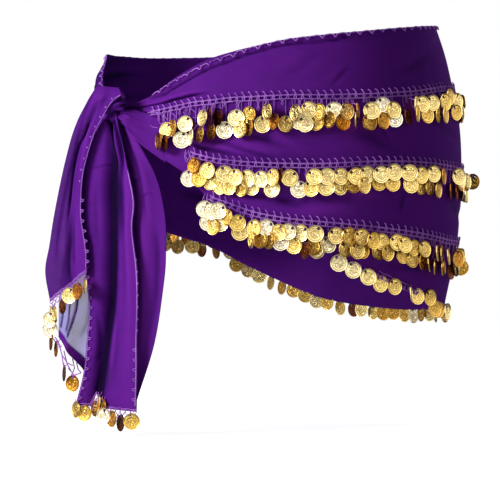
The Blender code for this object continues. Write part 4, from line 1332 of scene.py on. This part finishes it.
# The coins of the front, one by one, a lower tier and then an upper one: an angle, how far below the
# line its middle hangs, yaw, roll and tint.
FRONT_COINS = {
    "coin_row_1": (
        (
            (-22.5, 30.6, -34, 35, 0.22), (-19.1, 34.1, -40, 20, 0.15), (-16.6, 21.1, -29, 20, 0.35),
            (-12.8, 34.2, 28, 20, 0.97), (-8.1, 33.3, -49, 8, 0.85), (-4.3, 32.2, -40, 5, 0.42),
            (-0.2, 30.5, -36, 0, 0.25), (5, 30, 9, 20, 0.93), (11.3, 30, -23, 0, 0.66),
            (14.8, 29.3, -46, 0, 0.35), (19.8, 26.5, 2, 0, 0.7), (23.9, 24.8, -43, 0, 0.2),
            (28.1, 27.1, -14, 10, 0.6), (32.6, 24.5, -6, -25, 0.95), (34.6, 27.3, -8, -40, 0.8),
            (38.1, 25.4, -21, -40, 0.5), (41.9, 23.6, -48, -35, 0.42), (46.2, 25.7, 28, -45, 0.28),
            (50, 24.1, 72, -20, 0.6), (54.7, 26.4, 19, -50, 0.42), (58.5, 25.9, 30, -50, 0.34),
            (63, 24.7, -10, -45, 1), (66.6, 23.5, 35, -30, 0.1), (69.7, 21, 41, -40, 0.5),
            (75.2, 23.5, -6, -50, 0.52), (79.8, 25, 18, -20, 0.5), (83.9, 26.2, 11, -20, 0.5),
            (92.8, 25.2, -25, -30, 0.5),
        ),
        (
            (-19.9, 21.9, -5, 30, 0.62), (-11.4, 19.9, 9, 32, 0.82), (-3.3, 16.5, -33, 12, 0.7),
            (-0.2, 15.5, -51, 0, 0.12), (3, 17.3, -37, 6, 0.04), (9.9, 19.6, 7, 5, 0.8),
            (14.8, 17.2, -25, 12, 0.5), (21.5, 15.2, -44, -8, 0.62), (31, 17.1, -48, -20, 0.66),
            (35.8, 14.3, -15, -48, 0.74), (38.7, 16.2, -40, -30, 0.55), (43.7, 14.9, -1, -50, 0.9),
            (47.6, 16.1, 27, -46, 0.72), (50.2, 15.3, 72, -30, 0.3), (55.1, 15.8, -14, -50, 0.7),
            (59.1, 11.4, -5, -30, 1), (62.2, 16.2, 5, -30, 0.66), (68.9, 12.7, 42, -40, 0.7),
            (73.3, 12.8, -2, -55, 0.66), (77.2, 13.1, -15, -48, 0.68), (83.9, 14, -9, -40, 0.56),
            (89.7, 10, -4, -10, 0.5), (94, 13.9, -21, 0, 0.68),
        ),
    ),
    "coin_row_2": (
        (
            (-9.8, 25.3, 16, 0, 0.97), (-7.7, 11.6, -13, 20, 0.25), (-5.3, 21.8, 1, 20, 0.45),
            (-1, 22.9, 1, 10, 0.66), (3.2, 24.9, -8, 10, 0.6), (6.9, 24.8, -2, -15, 0.62),
            (11.7, 25, -18, -20, 0.5), (15.8, 23, -6, -30, 0.68), (23.3, 23.9, -11, -15, 0.74),
            (32.6, 23.9, 8, 20, 0.92), (36.5, 22.9, -20, -40, 0.6), (41.3, 22.3, -13, -45, 0.66),
            (45.6, 22, 21, -45, 0.62), (49.6, 21, 17, -40, 0.56), (52.5, 22.1, 33, -40, 0.6),
            (57.7, 19.9, 8, -40, 0.5), (61.8, 20.8, 2, -40, 0.56), (67.5, 21.9, -7, -45, 0.62),
            (71.9, 22.5, 5, -45, 0.55), (75.2, 23.1, 13, -40, 0.5), (78.6, 24.7, 16, -30, 0.45),
            (86.7, 24, 18, 0, 0.2), (91.2, 24.3, 13, 0, 0.15), (94, 15, -9, -30, 0.3),
        ),
        (
            (-1.8, 12.5, 1, 20, 0.62), (5.6, 13.2, 23, -18, 0.72), (9.7, 15.2, -4, -11, 0.66),
            (14.2, 15.3, -6, -40, 0.74), (19.4, 15.4, -8, -27, 0.78), (23.7, 13.2, -30, -36, 0.62),
            (25.9, 11.3, -62, 0, 0.05), (29.4, 13.3, 10, 50, 0.64), (37.3, 12.3, -10, -49, 0.64),
            (41.5, 12.1, 1, -63, 0.72), (45.4, 12.5, 22, -53, 0.66), (50, 13, 6, -53, 0.62),
            (53.5, 12.1, 13, -48, 0.7), (57.7, 12.4, -3, -46, 0.74), (61.6, 10.3, 2, -45, 0.68),
            (66.4, 10.7, -29, -49, 0.66), (71.1, 12.5, -2, -43, 0.6), (75.6, 10.4, -9, -40, 0.66),
            (80.8, 11.5, 20, -20, 0.3), (88.7, 9.7, -32, -60, 0.7),
        ),
    ),
    "coin_row_3": (
        (
            (-2.5, 27.1, 12, 10, 0.95), (0, 27.2, -18, 20, 0.5), (3.2, 21.5, 10, 30, 0.82),
            (11.1, 22.8, 21, 10, 0.66), (15.6, 26.4, -54, 20, 0.6), (19, 24.3, -21, -20, 0.5),
            (22.1, 23.5, -33, -20, 0.42), (26.3, 23.5, -2, 0, 0.97), (31, 24.3, -15, 20, 0.58),
            (34.4, 27.7, -54, 20, 0.15), (37.5, 24.2, -21, 20, 0.42), (38.5, 27.1, -21, 0, 0.8),
            (42.3, 20.5, 24, -30, 0.85), (47.8, 23.4, 26, -40, 0.56), (51.2, 23.7, 23, -40, 0.6),
            (53.1, 23.1, 21, -50, 0.4), (58.5, 22.6, 14, -50, 0.56), (61, 22.9, 22, -45, 0.5),
            (67, 23.1, 2, -50, 0.5), (70.3, 25.9, 2, -40, 0.56), (74.1, 26.6, 19, -30, 0.3),
            (77, 27.1, 33, 0, 0.5), (80, 28.2, 28, 0, 0.5), (84.5, 27.8, 21, 0, 0.4),
            (87.3, 25.9, 17, 0, 0.3), (94, 29.3, -9, 0, 0.1),
        ),
        (
            (-3.3, 15.9, 13, 30, 0.97), (-0.4, 13.9, 2, 40, 0.9), (2.8, 10.2, 12, 60, 0.9),
            (6.3, 13.6, -29, 35, 0.5), (10.5, 15.2, 22, 30, 0.56), (16.8, 14.9, -14, -27, 0.6),
            (21, 12, 16, 60, 0.96), (25.7, 14.4, -12, 24, 0.6), (28.8, 12.6, -4, 53, 0.85),
            (33.2, 12.1, -18, 53, 0.74), (37.9, 11.7, 3, 32, 0.72), (44.4, 11.9, 12, -50, 0.66),
            (48.4, 10.9, 26, -50, 0.5), (52.3, 11, 18, -60, 0.6), (55.7, 13.3, 24, -60, 0.5),
            (58.9, 13.4, 13, -40, 0.6), (63.6, 12.3, 3, -59, 0.62), (66.2, 13.7, 3, -50, 0.6),
            (70.1, 15.1, 8, -45, 0.5), (74.1, 14.6, 2, -45, 0.58), (78.6, 16.6, 30, -20, 0.6),
            (82.9, 15.5, 20, -10, 0.4), (86.9, 16.4, 18, 0, 0.5), (94, 17.4, -26, 0, 0.3),
        ),
    ),
    "coin_row_hem": (
        (
            (46.2, 4.6, -4, -21, 0.82), (50.8, 4.5, 6, -21, 0.8), (55.7, 4.3, 0, -27, 0.7),
            (60.4, 4.5, 8, -24, 0.62), (65.4, 1.5, 4, -38, 0.6), (70.5, 2.4, 44, -35, 0.7),
            (75.4, 0.9, -12, -41, 0.6), (81.8, -2.6, -13, -40, 0.5), (84.9, 6, -21, -20, 0.45),
            (91.4, 4.2, -14, -20, 0.42), (94, 4.6, -9, 0, 0.4),
        ),
    ),
}


def coin_mood(rng, count):
    """Yaws and tints along a row: mostly overlapping like scales, with clusters turned away."""
    yaw = rng.uniform(-26, 24, count)
    tint = np.clip(rng.normal(0.64, 0.14, count), 0.2, 1.0)
    n = 0
    while n < count:
        run = int(rng.integers(3, 10))
        turned_away = int(rng.integers(1, 4))
        for k in range(n + run, min(count, n + run + turned_away)):
            yaw[k] = rng.choice((-1, 1)) * rng.uniform(42, 80)
            tint[k] = rng.choice((0.05, 0.2, 0.35, 0.5, 0.95))
        n += run + turned_away
    return yaw, tint


def make_coins():
    """The coin rows on the wrap: the upper coins hang by two threads from the band, and the lower by one."""
    trim = bpy.context.scene.hip_scarf_coins
    coin = make_coin(trim.diameter / 2)
    threads = []
    for number, row in enumerate(COIN_ROWS):
        rng = np.random.default_rng(40 + number)
        tiers = []
        for placed, (below, out) in zip(FRONT_COINS[row.name], row.tiers):
            hidden = evenly(row.line, placed[-1][0] + 1.2, row.end, trim.pitch)
            count = len(hidden)
            yaw, tint = coin_mood(rng, count)
            more = np.stack([
                hidden + rng.uniform(-0.5, 0.5, count), below + rng.uniform(-1.8, 1.8, count), yaw,
                rng.uniform(-42, 42, count), tint], -1)
            coins = np.concatenate([placed, more])
            # Neighbours lie on one another in threes, and a coin on edge stands further out.
            turned_by = np.abs(np.sin(np.radians(coins[:, 2])))
            stand = out + np.arange(len(coins)) % 3 + 8 * np.maximum(0, turned_by - 0.2)
            tiers.append(np.column_stack([coins, stand]))
        single = len(tiers[0]) if len(tiers) > 1 else 0
        angle, below, yaw, roll, tint, out = np.concatenate(tiers).T
        middle = under_line(row.line, angle, below, out)
        base = wrap_frames(row.line, angle, below, level=True)
        made = turned(base, yaw, rng.uniform(-7, 3, len(angle)), roll)
        hole = middle + made[:, :, 2] * HOLE_UP
        sewn = BAND_GAP if row.line != "hem" else 0.0
        for n, (at, here, side) in enumerate(zip(hole, angle, base[:, :, 0])):
            band = under_line(row.line, here, sewn, BAND_OUT + 0.5)[0]
            for leg in (-1.5, 1.4) if n >= single else (0.3,):
                foot = band + side * leg
                low = on_wrap(here, at[2] + 2.5, BAND_OUT)[0] + (foot - band) * 0.75
                threads.append([foot, low, at + side * leg * 0.1])
        copies = repeat(row.name, [coin] * 3, hole, eulers(made), coin_material(), tint, seed=number + 3)
        attach(copies, "gilt_coins", f"coins_{row.line}_front", f"coins_{row.line}_back")
    add_crochet("coin_threads_wrap", threads, 0.36)
    make_tail_coins(coin)
    drop_motifs([coin])


# The coins at the tails' ends: x and height of the middle, forward of the tail, yaw, roll and tint.
TailCoins = namedtuple("TailCoins", "name tail nodes coins")
TAIL_COINS = (
    TailCoins("coin_tail_outer", "tail_outer", ("coins_tail_outer",), (
        (-149.6, -184.9, 1, -25, 6, 0.2), (-160.8, -189.5, 4, 4, 16, 0.7), (-138, -179.9, 3, -53, 6, 0.6),
        (-170.6, -200.1, 2, -37, 20, 0.1), (-182.7, -207.7, 3.5, -33, -12, 0.66),
        (-186.2, -213.7, 5, 0, 8, 0.84), (-187.3, -223.5, 3.5, 12, -10, 0.97),
        (-186.8, -235.7, 2, -50, 18, 0.16), (-178.5, -242.3, 3, -48, 14, 0.24),
    )),
    TailCoins("coin_tail_front", "tail_front", ("coins_tail_front_left", "coins_tail_front_right"), (
        (-156.4, -300.8, 2, -36, 8, 0.5), (-145.5, -304.2, 4, -2, -12, 0.5),
        (-135.7, -299.8, 2, -30, 12, 0.46), (-129.6, -293, 2, -53, 10, 0.6),
        (-122.7, -296.5, 2, -36, 16, 0.28), (-117.6, -305.3, 5.5, -2, 10, 0.95),
        (-107.8, -307.5, 4.5, -28, -14, 0.28), (-97.8, -310.9, 2, -36, 10, 0.08),
        (-83.3, -309, 5, 25, -16, 0.5),
    )),
    TailCoins("coin_tail_rear", "tail_rear", ("coins_tail_rear",), (
        (-171.3, -276.9, 2.5, -7, 12, 0.3), (-180.6, -267.1, 3.5, -50, -8, 0.06),
    )),
)


def make_tail_coins(coin):
    """The loose coins on the tails' nets, each on two short threads."""
    for tail_coins in TAIL_COINS:
        tail = TAILS[tail_coins.tail]
        left, right = tail.rows[-1, 0], tail.rows[-1, 2]
        holes, turns, threads = [], [], []
        for x, height, forward, yaw, roll, _ in tail_coins.coins:
            across = min(1.0, max(0.0, (x - left) / (right - left)))
            depth = on_tail(tail, across, 1.0, 1.0)[0][1]
            own = turned([np.eye(3)], [yaw], [-3], [roll])
            hole = np.array((x, depth - forward, height)) + own[0, :, 2] * HOLE_UP
            holes.append(hole)
            turns.append(eulers(own)[0])
            for leg in (-1.8, 1.8):
                foot = np.array((hole[0] + leg, depth, hole[2] + 4.5))
                threads.append([foot, foot * 0.5 + hole * 0.5 + (leg * 0.2, 0, 0), hole])
        tints = np.array(tail_coins.coins)[:, 5]
        name, same = tail_coins.name, [coin] * 3
        copies = repeat(name, same, np.array(holes), np.array(turns), coin_material(), tints)
        attach(copies, "gilt_coins", *tail_coins.nodes)
        add_crochet(f"threads_{name}", threads, 0.4)


# Stage


AZIMUTH = 25.0
CAMERA_BACK = 2.2
CAMERA_HEIGHT = -0.145
CAMERA_LEFT = 0.025
FIELD = 0.5  # metres across the camera's view, at the origin
SENSOR = 36.0
LAMPS_AIM = -0.1
FILL_TO_KEY = 0.035
LOWEST_COIN = -0.3205
FLOOR_GAP = 0.004
FLOOR_RADIUS = 2600  # in millimetres, as is every mesh's
FLOOR_SIDES = 96


def around(azimuth, elevation, distance):
    """A place at an azimuth from the wearer's front, as the camera counts it."""
    a, e = math.radians(azimuth), math.radians(elevation)
    return Vector((math.sin(a) * math.cos(e), -math.cos(a) * math.cos(e), math.sin(e))) * distance


def add_lamp(name, azimuth, elevation, distance, size, power, colour):
    light = bpy.data.lights.new(name, "AREA")
    light.shape = "DISK"
    light.size = size
    light.energy = power
    light.color = linear(colour)[:3]
    lamp = bpy.data.objects.new(name, light)
    aim = Vector((0, 0, LAMPS_AIM))
    lamp.location = around(azimuth, elevation, distance) + aim
    lamp.rotation_euler = (aim - lamp.location).to_track_quat("-Z", "Y").to_euler()
    bpy.context.scene.collection.objects.link(lamp)


def make_stage():
    studio = bpy.context.scene.hip_scarf_studio
    scene = bpy.context.scene
    scene.view_settings.view_transform = "Standard"
    low = min(CAD_BOX[0][2], LOWEST_COIN) - FLOOR_GAP
    turn = np.arange(FLOOR_SIDES) / FLOOR_SIDES * 2 * np.pi
    disc = np.stack([np.cos(turn) * FLOOR_RADIUS, np.sin(turn) * FLOOR_RADIUS, 0 * turn + low / MM], -1)
    paper = kept("Studio paper, matt", studio_paper, studio.paper)
    add_piece("paper_floor", disc, [tuple(range(FLOOR_SIDES))], paper)

    turn = math.radians(AZIMUTH)
    right = Vector((math.cos(turn), math.sin(turn), 0))
    camera = bpy.data.objects.new("camera", bpy.data.cameras.new("camera"))
    camera.location = around(AZIMUTH, 0, CAMERA_BACK) - right * CAMERA_LEFT + Vector((0, 0, CAMERA_HEIGHT))
    camera.rotation_euler = (math.pi / 2, 0, turn)
    camera.data.sensor_width = SENSOR
    camera.data.lens = SENSOR * CAMERA_BACK / FIELD
    scene.collection.objects.link(camera)
    scene.camera = camera

    add_lamp("key_light", AZIMUTH - 66, 24, 1.7, 0.6, studio.key, "#FFFDF8")
    add_lamp("fill_light", AZIMUTH + 62, 12, 2.2, 0.9, studio.key * FILL_TO_KEY, "#F4F6FF")

    world = bpy.data.worlds.new("studio")
    scene.world = world
    world.use_nodes = True
    world.node_tree.nodes.clear()
    add = partial(add_node, world.node_tree)
    ray = add("ShaderNodeLightPath").outputs
    way = add("ShaderNodeTexCoord", None, "Generated")
    # Metal sees a dim room with a tall window on the camera's left and a smaller one on its right.
    windows = [
        ramp(add, add("ShaderNodeVectorMath", {
            0: way, 1: around(AZIMUTH + aside, up, 1)}, "Value", operation="DOT_PRODUCT"), stops)
        for aside, up, stops in (
            (-48, 30, ((0.0, "#2A2014"), (0.28, "#8A827A"), (0.45, "#FFFFFF"))),
            (75, 12, ((0.1, "#000000"), (0.5, "#B4AEA8"), (0.8, "#FFFFFF"))),
        )
    ]
    room = add("ShaderNodeMix", {
        0: 1.0, 6: windows[0], 7: windows[1]}, 2, data_type="RGBA", blend_type="ADD", clamp_result=True)
    bright = add("ShaderNodeVectorMath", {0: room, "Scale": 1.65}, 0, operation="SCALE")
    dim = (studio.room, studio.room, studio.room, 1)
    lit = add("ShaderNodeMix", {0: ray["Is Glossy Ray"], 6: dim, 7: bright}, 2, data_type="RGBA")
    seen = add("ShaderNodeMix", {0: ray["Is Camera Ray"], 6: lit, 7: (1, 1, 1, 1)}, 2, data_type="RGBA")
    shine = add("ShaderNodeBackground", {"Color": seen}, "Background")
    add("ShaderNodeOutputWorld", {"Surface": shine})


# The add-on


class HipScarfCloth(bpy.types.PropertyGroup):
    """The chiffon."""

    thickness: FloatProperty(
        name="Cloth thickness", description="Drawn thickness of the chiffon, in millimetres",
        default=0.6, min=0.2, max=1.5)
    wrap_columns: IntProperty(
        name="Wrap columns", description="Faces round the wrapped cloth", default=430, min=60, max=460)
    wrap_rows: IntProperty(
        name="Wrap rows", description="Faces down the wrapped cloth", default=100, min=20, max=104)
    # Lit and shaded copies of the chiffon: the lit colour, a painted shade for its creases and a painted
    # highlight for its fold tops.
    lit: StringProperty(
        name="Lit colour", description="Chiffon in the light, as sRGB hex", default="#631C95")
    deep: StringProperty(
        name="Deep colour", description="Chiffon down in a crease, as sRGB hex", default="#2A0350")
    edge: StringProperty(
        name="Ridge colour", description="Chiffon on the top of a fold, as sRGB hex", default="#7424A6")
    clear: StringProperty(
        name="Clear colour", description="One clear layer of chiffon, as sRGB hex", default="#8072E0")


class HipScarfCrochet(bpy.types.PropertyGroup):
    """The crochet bands and edgings."""

    pitch: FloatProperty(
        name="Spike pitch", description="Distance between a band's spikes, in millimetres",
        default=7.0, min=3, max=15)
    picot_pitch: FloatProperty(
        name="Picot pitch", description="Distance between the hem's picots, in millimetres",
        default=6.4, min=3, max=15)
    hook_pitch: FloatProperty(
        name="Hook pitch", description="Distance between the top edge's hooks, in millimetres",
        default=12.0, min=5, max=25)
    # The thread's lit colour, and a painted shade for between its plies.
    light: StringProperty(
        name="Light colour", description="Thread in the light, as sRGB hex", default="#CF88FA")
    dark: StringProperty(
        name="Dark colour", description="Thread between its plies, as sRGB hex", default="#8A44C4")


class HipScarfCoins(bpy.types.PropertyGroup):
    """The coins."""

    diameter: FloatProperty(
        name="Coin diameter", description="Across one coin, in millimetres", default=16.5, min=8, max=25)
    pitch: FloatProperty(
        name="Coin pitch", description="Distance between a hidden tier's coins, in millimetres",
        default=13.6, min=8, max=30)


class HipScarfStudio(bpy.types.PropertyGroup):
    """The stage."""

    key: FloatProperty(
        name="Key light", description="Power of the key light", default=22, min=0, max=500, unit="POWER")
    room: FloatProperty(
        name="Room light", description="Strength of the light from all round", default=0.08, min=0, max=5)
    paper: StringProperty(
        name="Paper colour", description="The paper floor, as sRGB hex", default="#F6F6F6")


class SCARF_OT_bands(bpy.types.Operator):
    """Crochet the three bands that carry the coin rows"""

    bl_idname = "hip_scarf.bands"
    bl_label = "Crochet Bands"

    def execute(self, context):
        make_bands()
        return {"FINISHED"}


class SCARF_OT_edgings(bpy.types.Operator):
    """Crochet the picot edgings and the nets at the tails' ends"""

    bl_idname = "hip_scarf.edgings"
    bl_label = "Picot Edgings and Nets"

    def execute(self, context):
        make_edgings()
        make_nets()
        return {"FINISHED"}


class SCARF_OT_coins(bpy.types.Operator):
    """Hang the gilt coins on the bands, the hem and the tails"""

    bl_idname = "hip_scarf.coins"
    bl_label = "Coins"

    def execute(self, context):
        make_coins()
        return {"FINISHED"}


class SCARF_OT_knot(bpy.types.Operator):
    """Tie the knot"""

    bl_idname = "hip_scarf.knot"
    bl_label = "Knot"

    def execute(self, context):
        make_knot()
        make_roll()
        return {"FINISHED"}


class SCARF_OT_tails(bpy.types.Operator):
    """Hang the four layers of the tails"""

    bl_idname = "hip_scarf.tails"
    bl_label = "Tails"

    def execute(self, context):
        for name in TAILS:
            make_tail(name)
        return {"FINISHED"}


class SCARF_OT_wrap(bpy.types.Operator):
    """Wrap the chiffon round the hips"""

    bl_idname = "hip_scarf.wrap"
    bl_label = "Wrapped Cloth"

    def execute(self, context):
        make_wrap()
        return {"FINISHED"}


class SCARF_OT_stage(bpy.types.Operator):
    """Lay the paper floor and set the lights and the camera"""

    bl_idname = "hip_scarf.stage"
    bl_label = "Stage"

    def execute(self, context):
        make_stage()
        return {"FINISHED"}


class SCARF_PT_panel(bpy.types.Panel):
    """The hip scarf's pieces"""

    bl_label = "Hip Scarf"
    bl_idname = "SCARF_PT_panel"
    bl_space_type = "VIEW_3D"
    bl_region_type = "UI"
    bl_category = "Hip Scarf"

    def draw(self, context):
        for group in GROUPS:
            for name in group[1].__annotations__:
                self.layout.prop(getattr(context.scene, group[0]), name)
        for operator in OPERATORS:
            self.layout.operator(operator.bl_idname)


GROUPS = (
    ("hip_scarf_cloth", HipScarfCloth),
    ("hip_scarf_crochet", HipScarfCrochet),
    ("hip_scarf_coins", HipScarfCoins),
    ("hip_scarf_studio", HipScarfStudio),
)
# The cloth is made after the trims that are sewn on it.
OPERATORS = (
    SCARF_OT_bands,
    SCARF_OT_edgings,
    SCARF_OT_coins,
    SCARF_OT_knot,
    SCARF_OT_tails,
    SCARF_OT_wrap,
    SCARF_OT_stage,
)


def register():
    for name, group in GROUPS:
        bpy.utils.register_class(group)
        setattr(bpy.types.Scene, name, PointerProperty(type=group))
    for operator in OPERATORS:
        bpy.utils.register_class(operator)
    bpy.utils.register_class(SCARF_PT_panel)


def unregister():
    bpy.utils.unregister_class(SCARF_PT_panel)
    for operator in reversed(OPERATORS):
        bpy.utils.unregister_class(operator)
    for name, group in reversed(GROUPS):
        delattr(bpy.types.Scene, name)
        bpy.utils.unregister_class(group)


def main():
    register()
    for operator in OPERATORS:
        group, name = operator.bl_idname.split(".")
        getattr(getattr(bpy.ops, group), name)()


if __name__ == "__main__":
    main()
